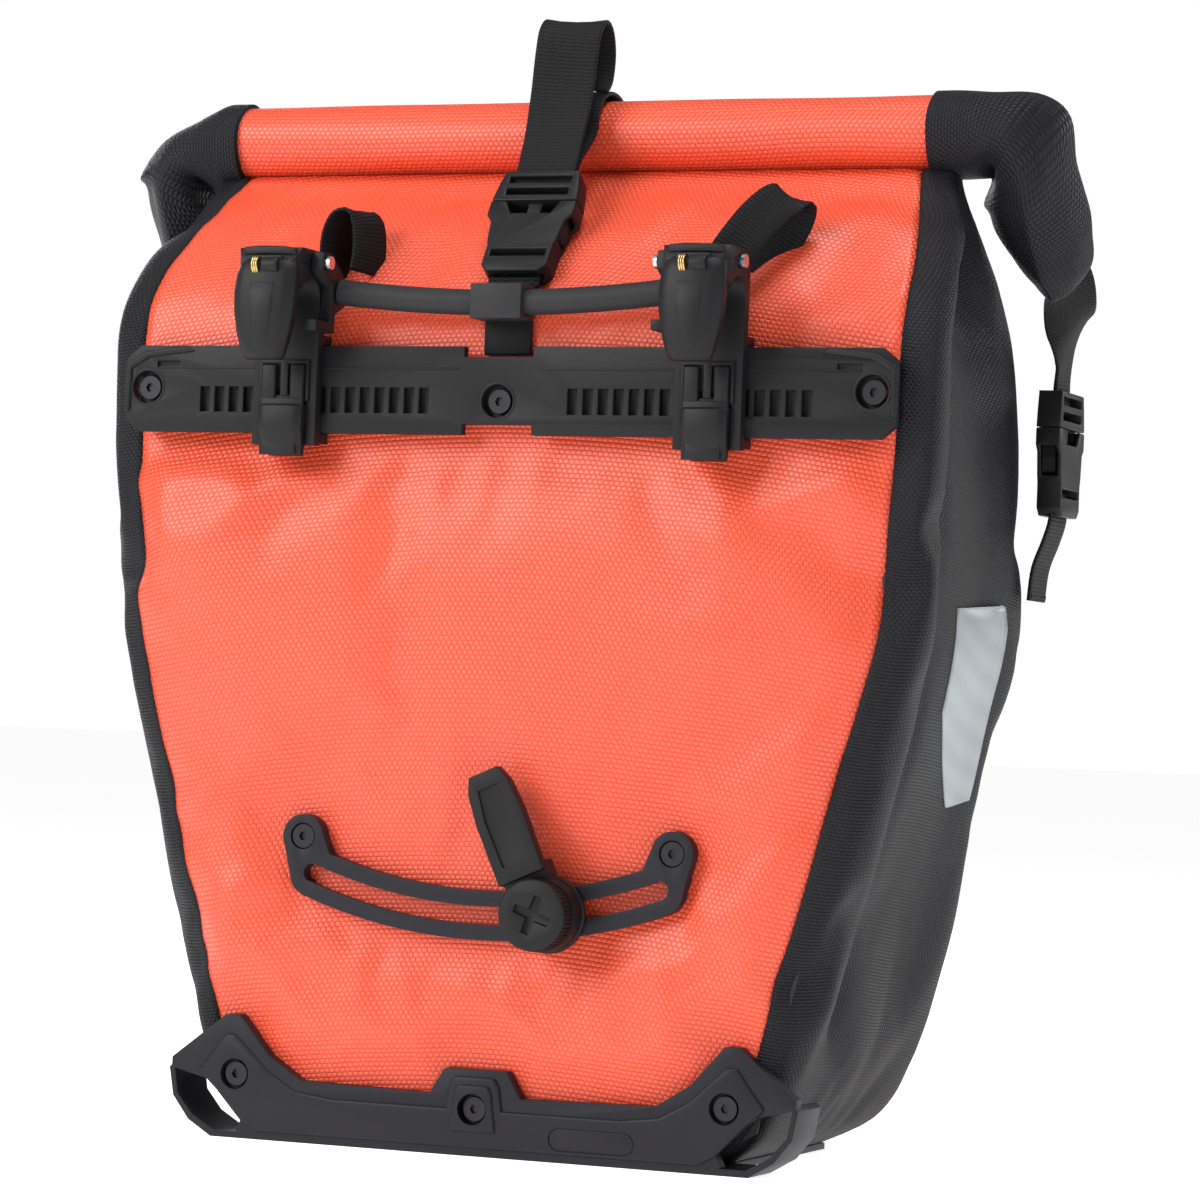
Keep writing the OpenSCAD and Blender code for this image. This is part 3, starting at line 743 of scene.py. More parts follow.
def wrinkled(points, fabric):
    """Gives the cloth the folds and hollows of use before it is simulated."""
    moved = []
    for p in points:
        q = p.copy()
        big = noise.noise(Vector((p.x * 9, p.y * 9, p.z * 11)) + Vector((3.1, 0.4, 7.7)))
        mid = noise.noise(Vector((p.x * 26, p.y * 22, p.z * 24)) + Vector((1.3, 5.2, 0.9)))
        reach = soft_step((TOP_Z - p.z) / 0.04) * soft_step((p.z - 0.004) / 0.03)
        inside = eased(HALF_WIDTH, p.z) - abs(p.x)
        swell = (big * 0.0042 + mid * 0.0014) * reach
        if p.y < FACE_Y + 0.045 and inside > 0.006:
            free = (1.0 - held_down(p)) * reach * soft_step((inside - 0.006) / 0.022)
            lift = 0.35 if p.z > RAIL_HIGH.z else 1.0
            q.y -= folds(p.x, p.z) * fabric.fold_depth * free * lift
        elif inside < 0.05 and FACE_Y + 0.012 < p.y < FAR_Y - 0.012:
            q.x += math.copysign(swell * 1.2, p.x)
        elif p.y > 0:
            q.y += swell * 2.0
        moved.append(q)
    return moved


CLOTH = {
    "quality": 5,
    "mass": 0.25,
    "tension_stiffness": 22,
    "compression_stiffness": 22,
    "shear_stiffness": 12,
    "bending_stiffness": 0.6,
    "use_pressure": True,
    "uniform_pressure_force": 2.2,
    "shrink_min": -0.016,
    "vertex_group_mass": "Pinned",
}
CLOTH_FRAMES = 18


def simulate(obj, pinned, fabric):
    """Lets the cloth swell and wrinkle between what holds it, and keeps the result."""
    group = obj.vertex_groups.new(name="Pinned")
    for i, weight in pinned.items():
        group.add([i], weight, "REPLACE")
    start = np.empty(len(obj.data.vertices) * 3)
    obj.data.vertices.foreach_get("co", start)
    cloth = obj.modifiers.new("Cloth", "CLOTH")
    for key, value in CLOTH.items():
        setattr(cloth.settings, key, value)
    cloth.settings.effector_weights.gravity = 0.0
    cloth.collision_settings.use_collision = False
    scene = bpy.context.scene
    for f in range(1, CLOTH_FRAMES + 1):
        scene.frame_set(f)
    depsgraph = bpy.context.evaluated_depsgraph_get()
    result = obj.evaluated_get(depsgraph).to_mesh()
    end = np.empty_like(start)
    result.vertices.foreach_get("co", end)
    obj.evaluated_get(depsgraph).to_mesh_clear()
    obj.modifiers.clear()
    move = (end - start).reshape(-1, 3)
    far = np.linalg.norm(move, axis=1, keepdims=True)
    move *= fabric.most_move * np.tanh(far / fabric.most_move) / np.maximum(far, 1e-9)
    obj.data.vertices.foreach_set("co", (start.reshape(-1, 3) + move).ravel())
    obj.vertex_groups.clear()
    scene.frame_set(1)


def build_shell(fabric):
    """The cloth panels, sides and base of the bag."""
    shell = Shell(fabric)
    points = wrinkled(shell.points, fabric)
    mesh = bpy.data.meshes.new("bag_shell")
    mesh.from_pydata([tuple(p) for p in points], [], shell.faces)
    whole = in_scene("bag_shell", mesh)
    pinned = {}
    for i, p in enumerate(points):
        at_rim = not 2 <= i // shell.count <= shell.rows - 2
        hold = 1.0 if at_rim else held_down(p)
        if hold > 0:
            pinned[i] = hold
    simulate(whole, pinned, fabric)
    co = np.empty(len(points) * 3)
    whole.data.vertices.foreach_get("co", co)
    co = co.reshape(-1, 3)
    bpy.data.objects.remove(whole)
    regions = [
        ("rack_panel_cloth", "coral_fabric", "back_panel"),
        ("gusset_right_cloth", "black_fabric", "gusset_right"),
        ("street_panel_cloth", "coral_fabric", "front_panel"),
        ("gusset_left_cloth", "black_fabric", "gusset_left"),
    ]
    edges = shell.edges()
    for (name, slot_name, node), first, last in zip(regions, edges, edges[1:]):
        grid, uv = region_grid(shell, co, first, last)
        piece = new_piece(name, grid, grid_faces(shell.rows, last - first), slot_name, "bag", uv)
        smooth = piece.modifiers.new("Smooth", "SUBSURF")
        smooth.levels = smooth.render_levels = 1
        thicken(piece, fabric.skin, -1.0 if slot_name == "coral_fabric" else -0.7)
        shade_smooth(piece)
        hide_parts(node)
    build_base(shell, [Vector(co[i]) for i in range(shell.count)], fabric)


def region_grid(shell, co, first, last):
    """The points of one region and its weave map, measured from its middle and up the fabric."""
    grid, uv = [], []
    for j in range(shell.rows + 1):
        row = [j * shell.count + (first + k) % shell.count for k in range(last - first + 1)]
        around = [0.0]
        for a, b in zip(row, row[1:]):
            around.append(around[-1] + float(np.linalg.norm(co[b] - co[a])))
        grid += [co[i] for i in row]
        uv += [(run - around[-1] / 2, shell.rise[i]) for run, i in zip(around, row)]
    return grid, uv


def build_base(shell, low, fabric):
    """Base fabric, between the lowest ring's two long sides, and a fan in each short side."""
    _, right, far, left, _ = shell.edges()
    ring_face = low[:right + 1]
    ring_far = list(reversed(low[far:left + 1]))
    steps = 14
    grid = [near.lerp(there, j / steps) for j in range(steps + 1) for near, there in zip(ring_face, ring_far)]
    quads = turned_over(grid_faces(steps, shell.columns))
    base = new_piece("base_cloth", grid, quads, "black_fabric", "bag", [(p.x, p.y) for p in grid])
    for name, first in (("right", right), ("left", left)):
        rim = [low[(first + k) % shell.count] for k in range(shell.side_columns + 1)]
        fan = [sum(rim, Vector()) / len(rim)] + rim
        tris = [(0, k + 2, k + 1) for k in range(len(rim) - 1)]
        new_piece(f"base_corner_{name}", fan, tris, "black_fabric", "bag", [(p.x, p.y) for p in fan])
    thicken(base, fabric.skin, -1.0)
    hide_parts("base_panel")


# ---- roll ----


def build_roll(fabric):
    """The rolled closure: a spiral of fabric, and its folded ends."""
    turns, steps_round, inner = 2.6, 48, ROLL_R * 0.52
    half = (ROLL_HIGH.x - ROLL_LOW.x) / 2
    last = int(turns * steps_round)
    spiral = [
        (2 * math.pi * k / steps_round, inner + (ROLL_R - inner) * (k / (turns * steps_round)) ** 0.8)
        for k in range(last + 1)
    ]
    shift = math.radians(-68) - spiral[-1][0]
    steps = 56
    grid, uv = [], []
    for j in range(steps + 1):
        x = -half + 2 * half * j / steps
        run = 0.0
        for k, (a, r) in enumerate(spiral):
            b = -(a + shift)
            flat = 1.0 + 0.035 * noise.noise(Vector((x * 14, math.cos(b) * 1.2, math.sin(b) * 1.2)))
            y = ROLL_MID.y + math.cos(b + math.pi) * r * 0.98 * flat
            z = ROLL_MID.z + math.sin(b + math.pi) * r * flat
            p = Vector((x, y, z))
            if k:
                run += (p - grid[-1]).length
            grid.append(p)
            uv.append((x, run))
    piece = new_piece("roll_cloth", grid, grid_faces(steps, last), "coral_fabric", "bag", uv)
    thicken(piece, fabric.skin, 0)
    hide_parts("roll")
    for side in (-1, 1):
        build_roll_end(side)
    soften("closure_bar", "closure_bar_strip", 0.0005)


# Stations of a folded roll end, from the middle of the roll: centre, depth axis and outer axis, in mm.
END_STATIONS = [
    ((148, 0, 0), (0, 17.0, 0), (0, 0, 17.0)),
    ((158, 0, 0), (0, 17.4, 0), (0, 0, 17.2)),
    ((168, 1, 0), (0, 18.4, 0.4), (2, 0, 16.8)),
    ((178, 3, -1), (-1, 19.4, 2.0), (10, -1, 17.0)),
    ((182, 7, -9), (-2, 18.5, 9.0), (18, -3, 16.0)),
    ((183, 13, -19), (-2, 17.0, 13.5), (18.5, -2, 8.5)),
    ((184.5, 21, -29), (-1, 15.6, 15.6), (18, 0, 4.0)),
    ((186.5, 28.5, -38), (0, 14.6, 15.6), (16.4, 0, 2.0)),
    ((188.5, 35, -45.5), (0, 13.4, 14.6), (13.4, 0, 0.8)),
    ((189, 38, -49), (0, 12.2, 13.4), (10.6, 0, 0.4)),
    ((189.2, 38.6, -49.6), (0, 10.0, 11.0), (7.6, 0, 0.2)),
    ((189, 36.5, -47.5), (0, 9.0, 9.8), (5.4, 0, 0.2)),
]


def build_roll_end(side):
    """The folded side fabric at one end of the roll, which hangs down and back."""
    tracks = [[Vector(station[k]) * MM for station in END_STATIONS] for k in range(3)]
    steps, count = 60, 72
    rings = []
    for j in range(steps + 1):
        place = (len(END_STATIONS) - 1) * j / steps
        centre, deep, outer = (blended(track, place) for track in tracks)
        grow = soft_step((place - 1.5) / 3.5)
        ring = []
        for i in range(count):
            a = 2 * math.pi * i / count
            c, d = math.cos(a), math.sin(a)
            power = 1.0 + 0.42 * grow
            c = math.copysign(abs(c) ** power, c)
            d = math.copysign(abs(d) ** power, d)
            ripple = 1.0 + 0.07 * grow * noise.noise(Vector((c * 1.6, d * 1.6, place * 0.9 + side * 3)))
            ripple += 0.018 * math.sin(5 * a + place * 1.1) * (1 - 0.4 * grow)
            dent = 0.30 * math.exp(-((place - 3.2) / 0.8) ** 2) * math.exp(-((a - 4.35) / 0.42) ** 2)
            p = centre + (deep * c + outer * d) * (ripple - dent)
            if side < 0:
                p.z -= 0.42 * max(0.0, p.x - 0.158) * soft_step((p.z + 0.02) / 0.03)
            ring.append(Vector((side * p.x, ROLL_MID.y + p.y, ROLL_MID.z + p.z)))
        rings.append(ring)
    name = "right" if side > 0 else "left"
    piece = tube(f"roll_end_{name}_cloth", rings, "black_fabric", "bag", woven=True)
    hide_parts(f"roll_end_{name}")


def fix_outward(obj):
    """Turns every face of a closed piece outwards."""
    work = bmesh.new()
    work.from_mesh(obj.data)
    bmesh.ops.recalc_face_normals(work, faces=work.faces)
    work.to_mesh(obj.data)
    work.free()


# ---- webbing ----


TILT = math.radians(33)
MOUTH = Vector((0, -0.060, 0.367))
WEB_W, WEB_T = 0.025, 0.0016
X_AXIS, Y_AXIS = Vector((1, 0, 0)), Vector((0, 1, 0))


def on_axis(distance, lift=0.0):
    """Point on the axis of the centre buckle, a distance above its mouth."""
    axis = Vector((0, math.sin(TILT), math.cos(TILT)))
    out = Vector((0, -math.cos(TILT), math.sin(TILT)))
    return MOUTH + axis * distance + out * lift


def build_closure_strap():
    """Webbing from the street side over the roll to the plug, and the loop that it ends in."""
    low = [
        (0, 0.0852, 0.206), (0, 0.0848, 0.222), (0, 0.0815, 0.246), (0, 0.0735, 0.280), (0, 0.0590, 0.320),
        (0, 0.0400, 0.350), (0, 0.0190, 0.371),
    ]
    r = ROLL_R + 0.0022
    over = [
        (0, ROLL_MID.y + r * math.cos(math.radians(a)), ROLL_MID.z + r * math.sin(math.radians(a)))
        for a in (-12, 15, 42, 70, 98, 126, 154, 180)
    ]
    end = [on_axis(0.024, 0.0005), on_axis(0.017), on_axis(0.0105)]
    line = smooth_line(low + over + end, 0.003)
    piece = strap("closure_strap_webbing", line, X_AXIS, WEB_W, WEB_T, None)
    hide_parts("closure_strap")
    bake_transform(piece)
    arch = [
        on_axis(0.0108, 0.0016), on_axis(0.018, 0.0022), (0, -0.0450, 0.399), (0, -0.0395, 0.416),
        (0, -0.0362, 0.432), (0, -0.0335, 0.4405), (0, -0.0272, 0.4455), (0, -0.0205, 0.4425),
        (0, -0.0175, 0.4340), (0, -0.0195, 0.4235), (0, -0.0235, 0.4195),
    ]
    line = smooth_line(arch, 0.002)
    across = [
        X_AXIS.lerp(Vector((0.97, 0.24, 0)), soft_step((p.z - 0.39) / 0.04)) for p in line
    ]
    loop = strap("carry_loop_webbing", line, across, WEB_W, WEB_T, "center_clip", 0.0006)
    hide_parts("carry_loop")
    tab = strap(
        "socket_tab_webbing", smooth_line([(0, -0.0806, 0.3336), on_axis(-0.037), on_axis(-0.0250)], 0.002),
        X_AXIS, 0.0215, 0.0014, "bag",
    )
    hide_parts("center_socket_tab")


def build_side_straps():
    """Webbing from each roll end to the side buckle, and from the buckle to the side of the bag."""
    for side, name in ((-1, "left"), (1, "right")):
        low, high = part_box(f"side_socket_{name}")
        mid = (low + high) / 2
        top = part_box(f"side_plug_{name}")[1].z
        x = abs(mid.x)
        upper = [
            (x, mid.y, top - 0.0055), (x, mid.y, top + 0.004), (x + 0.0015, mid.y - 0.002, top + 0.014),
            (x + 0.005, mid.y - 0.010, top + 0.024), (x + 0.009, mid.y - 0.024, top + 0.034),
            (x + 0.0115, mid.y - 0.036, top + 0.042), (x + 0.0120, mid.y - 0.044, top + 0.049),
        ]
        line = smooth_line([(side * a, b, c) for a, b, c in upper], 0.0022)
        turn = [Y_AXIS, Y_AXIS, Vector((side * 0.7, 0.7, 0)), Vector((side * 0.35, 0.75, 0.5))]
        across = [blended(turn, 3 * j / (len(line) - 1)).normalized() for j in range(len(line))]
        piece = strap(f"side_strap_upper_{name}_webbing", line, across, 0.0215, WEB_T, None)
        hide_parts(f"side_strap_upper_{name}")
        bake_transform(piece)
        lower = [
            (x, mid.y, low.z + 0.010), (x, mid.y, low.z - 0.001), (0.1745, mid.y, low.z - 0.010),
            (0.1706, mid.y, low.z - 0.021), (0.1692, mid.y, low.z - 0.034),
        ]
        line = smooth_line([(side * a, b, c) for a, b, c in lower], 0.002)
        piece = strap(f"side_strap_lower_{name}_webbing", line, Y_AXIS, 0.0225, WEB_T, "bag")
        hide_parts(f"side_strap_lower_{name}")


def build_pull_loops():
    """Small webbing loops behind the hooks."""
    right = [
        (-0.0060, -0.0850, 0.3385), (-0.0010, -0.0845, 0.3470), (0.0065, -0.0800, 0.3590),
        (0.0125, -0.0745, 0.3665), (0.0160, -0.0690, 0.3690), (0.0168, -0.0650, 0.3665),
        (0.0140, -0.0640, 0.3590), (0.0080, -0.0665, 0.3490), (0.0020, -0.0710, 0.3400),
    ]
    left = [
        (0.0020, -0.0745, 0.3385), (0.0000, -0.0745, 0.3480), (0.0008, -0.0740, 0.3570),
        (0.0040, -0.0735, 0.3628), (0.0085, -0.0733, 0.3640), (0.0125, -0.0733, 0.3600),
        (0.0138, -0.0737, 0.3500), (0.0130, -0.0745, 0.3400),
    ]
    for name, path, shift, wide in (
        ("left", left, 0.009, Vector((0.42, 0.90, 0.0))), ("right", right, 0.004, Vector((0.80, 0.25, -0.42))),
    ):
        low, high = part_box(f"hook_body_{name}")
        x = (low.x + high.x) / 2 + shift
        line = smooth_line([(x + a, b, c) for a, b, c in path], 0.0016)
        loop = strap(f"pull_loop_{name}_webbing", line, wide, 0.0165, WEB_T, f"hook_{name}", 0.0004)
        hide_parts(f"handle_loop_{name}")


# ---- reflectors ----


FILM_T = 0.0009


def build_reflectors():
    """Patches that lie on the side fabric."""
    corners = [
        (-0.016, 0.217), (0.046, 0.220), (0.051, 0.212), (0.049, 0.141), (0.030, 0.139), (-0.012, 0.176),
    ]
    low_z, high_z, rim = 0.138, 0.221, 0.0012
    for side, name in ((-1, "left"), (1, "right")):
        cloth = bpy.data.objects[f"gusset_{name}_cloth"]
        work = bmesh.new()
        work.from_mesh(cloth.data)
        tree = BVHTree.FromBMesh(work)
        work.free()
        rows, columns = 26, 18
        outline = corners + corners[:1]
        spans = []
        for j in range(rows + 1):
            z = low_z + rim + (high_z - low_z - 2 * rim) * j / rows
            hits = []
            for (ya, za), (yb, zb) in zip(outline, outline[1:]):
                if min(za, zb) <= z < max(za, zb):
                    hits.append(ya + (yb - ya) * (z - za) / (zb - za))
            if len(hits) >= 2:
                spans.append((z, min(hits), max(hits)))
        points, uv = [], []
        for z, near, far in spans:
            for k in range(columns + 1):
                y = near + (far - near) * k / columns
                hit = tree.ray_cast(Vector((side * 0.3, y, z)), Vector((-side, 0, 0)))[0]
                points.append(Vector((hit.x + side * 0.0006, y, z)))
                uv.append((y, z))
        quads = grid_faces(len(spans) - 1, columns)
        if side < 0:
            quads = [tuple(reversed(quad)) for quad in quads]
        patch = new_piece(f"reflector_{name}_film", points, quads, "reflective_film", "bag", uv)
        thicken(patch, FILM_T, -1.0)
        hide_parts(f"reflector_{name}")


# ---- moulded detail ----


BACK_SCALE = 0.97
LIMB_DEPTH, LIMB_TOP_Z = 5.4, 0.3405
CLAMP_Y = -96.5


def plate(name, outline, back, front, edge, slot_name, body):
    """A flat moulding from an X and Z outline in mm, between two depths, with rounded edges."""
    pts = list(outline)
    if sum(ax * bz - bx * az for (ax, az), (bx, bz) in zip(pts, pts[1:] + pts[:1])) < 0:
        pts.reverse()
    n = len(pts)
    points = [(x * MM, y * MM, z * MM) for y in (back, front) for x, z in pts]
    faces = [tuple(range(n)), tuple(range(2 * n - 1, n - 1, -1))]
    faces += [(i, n + i, n + (i + 1) % n, (i + 1) % n) for i in range(n)]
    obj = new_piece(name, points, faces, slot_name, body)
    fix_outward(obj)
    round_edges(obj, edge * MM, 3, 25, 40)
    return obj


def shield(name, levels, back, body, x, crown=0.0022, edge=0.0016):
    """A curved cover: at each height the half width to the left and right, and the front depth, in mm."""
    rings = []
    for z, left, right, front in levels:
        ring = []
        for k in range(17):
            t = k / 16
            u = -left + (left + right) * t
            bulge = (1 - (2 * t - 1) ** 2) * crown
            rim = edge * (1 - soft_step(min(t, 1 - t) / 0.12))
            ring.append(Vector((x + u * MM, front * MM - bulge + rim, z * MM)))
        for k in range(9):
            t = 1 - k / 8
            u = -left + (left + right) * t
            ring.append(Vector((x + u * MM * BACK_SCALE, back * MM, z * MM)))
        rings.append(ring)
    round_edges(tube(name, rings, "charcoal_plastic", body), 0.0006, 2, 40, 45)


def cover_levels(z_top, front):
    """Half widths and depth of a hook's cover down its height."""
    return [
        (z_top, 10.6, 11.2, front + 2.6), (z_top - 1.5, 11.6, 12.2, front + 0.8),
        (z_top - 6, 12.9, 12.8, front - 0.2), (z_top - 13, 13.4, 12.9, front - 1.0),
        (z_top - 20, 13.1, 12.4, front - 1.2), (z_top - 28, 12.0, 10.9, front - 0.8),
        (z_top - 34, 10.6, 9.2, front), (z_top - 37.5, 9.4, 7.9, front + 1.0),
        (z_top - 39.0, 8.4, 6.9, front + 2.4),
    ]


def rectangle(x0, x1, z0, z1):
    """The corners of a rectangle, in order."""
    return [(x0, z0), (x1, z0), (x1, z1), (x0, z1)]


def build_hooks():
    """Covers, pads and tongues of the rack hooks, over their bodies."""
    for side, name in ((-1, "left"), (1, "right")):
        body = soften(f"hook_body_{name}", f"hook_body_{name}_moulding", 0.0006)
        low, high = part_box(f"hook_body_{name}")
        x, front = (low.x + high.x) / 2, low.y / MM
        for v in body.data.vertices:
            if v.co.y < (front + LIMB_DEPTH) * MM and v.co.z < LIMB_TOP_Z:
                v.co.x = x + (v.co.x - x) * 0.80
                v.co.y = max(v.co.y, (front + 0.9) * MM)
        build_hook_cover(name, x, front)
        build_hook_clamp(side, name, x)


def build_hook_cover(name, x, front):
    """The cover, its inset panel, and the window with the spring."""
    hook = f"hook_{name}"
    middle = x / MM
    shield(f"hook_cover_{name}", cover_levels(341.5, front), front + 5.0, hook, x)
    panel = [
        (332.5, 6.4, 6.6, front - 1.7), (331.8, 6.6, 6.8, front - 2.3), (322, 5.8, 5.9, front - 3.1),
        (312, 4.3, 4.3, front - 2.6), (307, 3.2, 3.1, front - 1.6), (306.2, 2.9, 2.8, front - 0.9),
    ]
    shield(f"hook_cover_panel_{name}", panel, front + 1.5, hook, x, 0.0007, 0.0006)
    window = rectangle(middle - 6.6, middle + 6.6, 333.2, 342.6)
    plate(f"hook_window_{name}", window, front + 4, front - 0.1, 0.5, "stiffener_sheet", hook)
    axle = Vector((x, (front - 0.2) * MM, 0.3385))
    ring_tube(f"hook_sleeve_{name}", axle, -0.0005, 0.0062, 0.0033, hook)
    coil(f"hook_coil_{name}", axle, -0.0045, 0.0034, 3, hook)
    cap = [(-10.9, 343.2), (-10.6, 346.1), (-4, 346.6), (7, 346.3), (11.4, 345.6), (11.9, 343.0)]
    cap = [(middle + a, b) for a, b in cap]
    plate(f"hook_cap_{name}", cap, front + 12, front + 2.2, 0.7, "charcoal_plastic", hook)


def build_hook_clamp(side, name, x):
    """Pads, rib, yoke and tongue of the clamp that grips the rail."""
    hook = f"hook_{name}"
    middle = x / MM
    low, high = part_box(f"rail_latch_{name}")
    soften(f"rail_latch_{name}", f"rail_latch_{name}_moulding", 0.0005)
    front = low.y / MM
    for a, b in ((-8.9, -3.1), (3.3, 8.9)):
        tag = "outer" if (a < 0) == (side < 0) else "inner"
        pad = rectangle(middle + a, middle + b, 288.6, 302.0)
        plate(f"clamp_pad_{tag}_{name}", pad, CLAMP_Y, front + 1.2, 0.6, "charcoal_plastic", hook)
    rib = rectangle(middle - 1.6, middle + 1.8, 287.8, 303.4)
    plate(f"clamp_rib_{name}", rib, CLAMP_Y, front + 2.6, 0.4, "charcoal_plastic", hook)
    yoke = [
        (-10.6, 288.0), (-10.6, 304.0), (10.6, 304.0), (10.6, 288.0),
        (9.2, 288.0), (9.2, 302.5), (-9.2, 302.5), (-9.2, 288.0),
    ]
    yoke = [(middle + a, b) for a, b in yoke]
    plate(f"clamp_yoke_{name}", yoke, CLAMP_Y - 0.5, CLAMP_Y - 2.1, 0.35, "charcoal_plastic", hook)
    tongue = [
        (286.6, 9.3, 9.3, front + 0.6), (285.8, 9.4, 9.4, front - 0.3), (281, 9.3, 9.3, front - 0.9),
        (276, 8.9, 9.2, front - 0.6), (271, 8.0, 9.0, front + 0.8), (268.0, 6.9, 8.7, front + 2.6),
        (266.6, 6.2, 8.4, front + 4.4),
    ]
    shield(f"latch_tongue_{name}", tongue, high.y / MM + 0.2, f"latch_{name}", x, 0.0010, 0.0010)


def ring_tube(name, axle, start, end, radius, body):
    """A short sleeve along X with rounded rims; start and end are from the axle's middle."""
    profile = [
        (0.0, 0.55), (0.0, 0.90), (0.04, 0.98), (0.10, 1.0),
        (0.90, 1.0), (0.96, 0.98), (1.0, 0.90), (1.0, 0.55),
    ]
    rings = [
        [axle + Vector((start + (end - start) * t, y, z)) for y, z in on_circle(radius * scale, 28)]
        for t, scale in profile
    ]
    obj = tube(name, rings, "charcoal_plastic", body)
    obj.data.set_sharp_from_angle(angle=math.radians(40))


def coil(name, axle, start, radius, turns, body):
    """A few turns of spring wire along X."""
    steps, pitch, wire = 40, 0.0009, 0.00036
    rings = []
    for j in range(int(turns * steps) + 1):
        a = 2 * math.pi * j / steps
        out = Vector((0, math.cos(a), math.sin(a)))
        middle = axle + Vector((start + pitch * j / steps, 0, 0)) + out * radius
        rings.append([middle + out * u + Vector((v, 0, 0)) for u, v in on_circle(wire, 10)])
    tube(name, rings, "spring_brass", body)


# The visual tray ends under the rounded edge of the cloth, sooner than the CAD's.
TRAY_END_Y, TRAY_SHORTER = 0.060, 0.030


def build_guard():
    """Raised ledge, stepped middle and corner ribs of the bottom guard."""
    guard = soften("bottom_guard", "bottom_guard_moulding", 0.0014, segments=3)
    for v in guard.data.vertices:
        if v.co.y > TRAY_END_Y:
            v.co.y -= TRAY_SHORTER
    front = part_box("bottom_guard")[0].y / MM
    half = [
        (0, 3.2), (92, 3.2), (99, 7.0), (110, 18.5), (118, 25.5), (106.5, 40.5), (102.5, 40.5), (88.0, 26.8),
        (76, 20.0), (60, 18.0), (16.5, 18.0),
    ]
    outline = half + [(-x, z) for x, z in reversed(half[1:])]
    ledge = plate("guard_ledge", outline, front + 3, front - 1.1, 1.1, "slate_plastic", "bag")
    arch = [(-12.2, 14), (-10.4, 27.0), (-8.4, 30.4), (8.4, 30.4), (10.4, 27.0), (12.2, 14)]
    boss = plate("guard_middle_arch", arch, front + 3, front - 1.2, 1.0, "slate_plastic", "bag")
    step = [(-9.6, 9.5), (-7.6, 24.8), (-6.2, 27.2), (6.2, 27.2), (7.6, 24.8), (9.6, 9.5)]
    top = plate("guard_middle_step", step, front + 3, front - 2.2, 0.8, "slate_plastic", "bag")
    bores = [[(x + a, z + b) for a, b in on_circle(6.0, 40)] for x, z in ((-102, 25), (102, 25), (0, 18))]
    cutter = cutter_object(bores, front - 6, front + 3.05)
    oval = cutter_object([oval_points(36, 62, 9, 4.5)], front - 6, front - 0.6)
    for obj in (ledge, boss, top):
        cut(obj, cutter)
    cut(ledge, oval)
    for obj in (cutter, oval):
        bpy.data.objects.remove(obj)
    blank = oval_points(36, 62, 9, 4.2)
    plate("guard_blank_oval", blank, front + 0.4, front - 0.85, 0.3, "slate_plastic", "bag")


def oval_points(x0, x1, z, r, steps=14):
    """An oval outline about two centres at the same height."""
    return [
        (x + r * math.cos(a), z + r * math.sin(a))
        for x, start in ((x0, math.pi / 2), (x1, -math.pi / 2))
        for a in [start + math.pi * k / steps for k in range(steps + 1)]
    ]


def cutter_object(loops, y0, y1):
    """A hidden solid that cuts the given outlines."""
    points, faces = [], []
    for loop in loops:
        n, base = len(loop), len(points)
        points += [(x * MM, y0 * MM, z * MM) for x, z in loop] + [(x * MM, y1 * MM, z * MM) for x, z in loop]
        faces.append(tuple(base + i for i in range(n)))
        faces.append(tuple(base + 2 * n - 1 - i for i in range(n)))
        faces += [(base + i, base + n + i, base + n + (i + 1) % n, base + (i + 1) % n) for i in range(n)]
    mesh = bpy.data.meshes.new("cutter")
    mesh.from_pydata(points, [], faces)
    obj = in_scene("cutter", mesh)
    fix_outward(obj)
    return obj


def cut(obj, cutter):
    """Takes the cutter out of the piece."""
    boolean = obj.modifiers.new("Cut", "BOOLEAN")
    boolean.operation = "DIFFERENCE"
    boolean.solver = "EXACT"
    boolean.object = cutter
    apply_modifiers(obj)
    obj.data.set_sharp_from_angle(angle=math.radians(40))


def build_rail():
    """The rack rail with its long rounded flanks, vents and end lips."""
    low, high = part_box("mounting_rail")
    front, tip, z0, z1 = low.y / MM, high.x / MM, low.z / MM, high.z / MM
    soften("mounting_rail", "rail_moulding", 0.0011, segments=3)
    for side, name in ((-1, "left"), (1, "right")):
        inner, outer = side * 16.5, side * (tip - 14)
        ridge = [(inner, z1 - 9.0), (inner, z1 - 8.2), (outer, z1 - 8.2), (outer, z1 - 9.0)]
        plate(f"rail_ridge_{name}", ridge, front + 1, front - 0.35, 0.25, "charcoal_plastic", "bag")
        lip = [
            (side * (tip - 2.0), z0 + 8), (side * (tip + 0.2), z0 + 8), (side * (tip + 0.2), z1 - 7),
            (side * (tip - 8), z1 - 2.4), (side * (tip - 26), z1 + 0.1), (side * (tip - 30), z1 - 2.2),
            (side * (tip - 10), z1 - 4.6), (side * (tip - 2.4), z1 - 9.0),
        ]
        plate(f"rail_lip_{name}", lip, front + 3, front - 0.9, 0.7, "charcoal_plastic", "bag")
    rings = [(-151, 293.5), (151, 293.5), (0, 289)]
    for (x, z), name in zip(rings, ("left", "right", "middle")):
        washer(f"rail_bore_rim_{name}", x, z, 6.5, 7.6, front - 0.25, front + 0.6)


def washer(name, x, z, r0, r1, y0, y1):
    """A flat ring on the rail that faces the rack."""
    profile = [(r0, y1), (r0, y0 + 0.15), (r0 + 0.2, y0), (r1 - 0.3, y0), (r1, y0 + 0.25), (r1, y1)]
    steps, n = 44, len(profile)
    points = [
        ((x + r * c) * MM, y * MM, (z + r * d) * MM) for c, d in on_circle(1.0, steps) for r, y in profile
    ]
    faces = [tuple(v % (steps * n) for v in face) for face in ring_faces(steps, n)]
    obj = new_piece(name, points, faces, "charcoal_plastic", "bag")
    fix_outward(obj)
    obj.data.set_sharp_from_angle(angle=math.radians(50))
    return obj


# ---- repeated detail ----


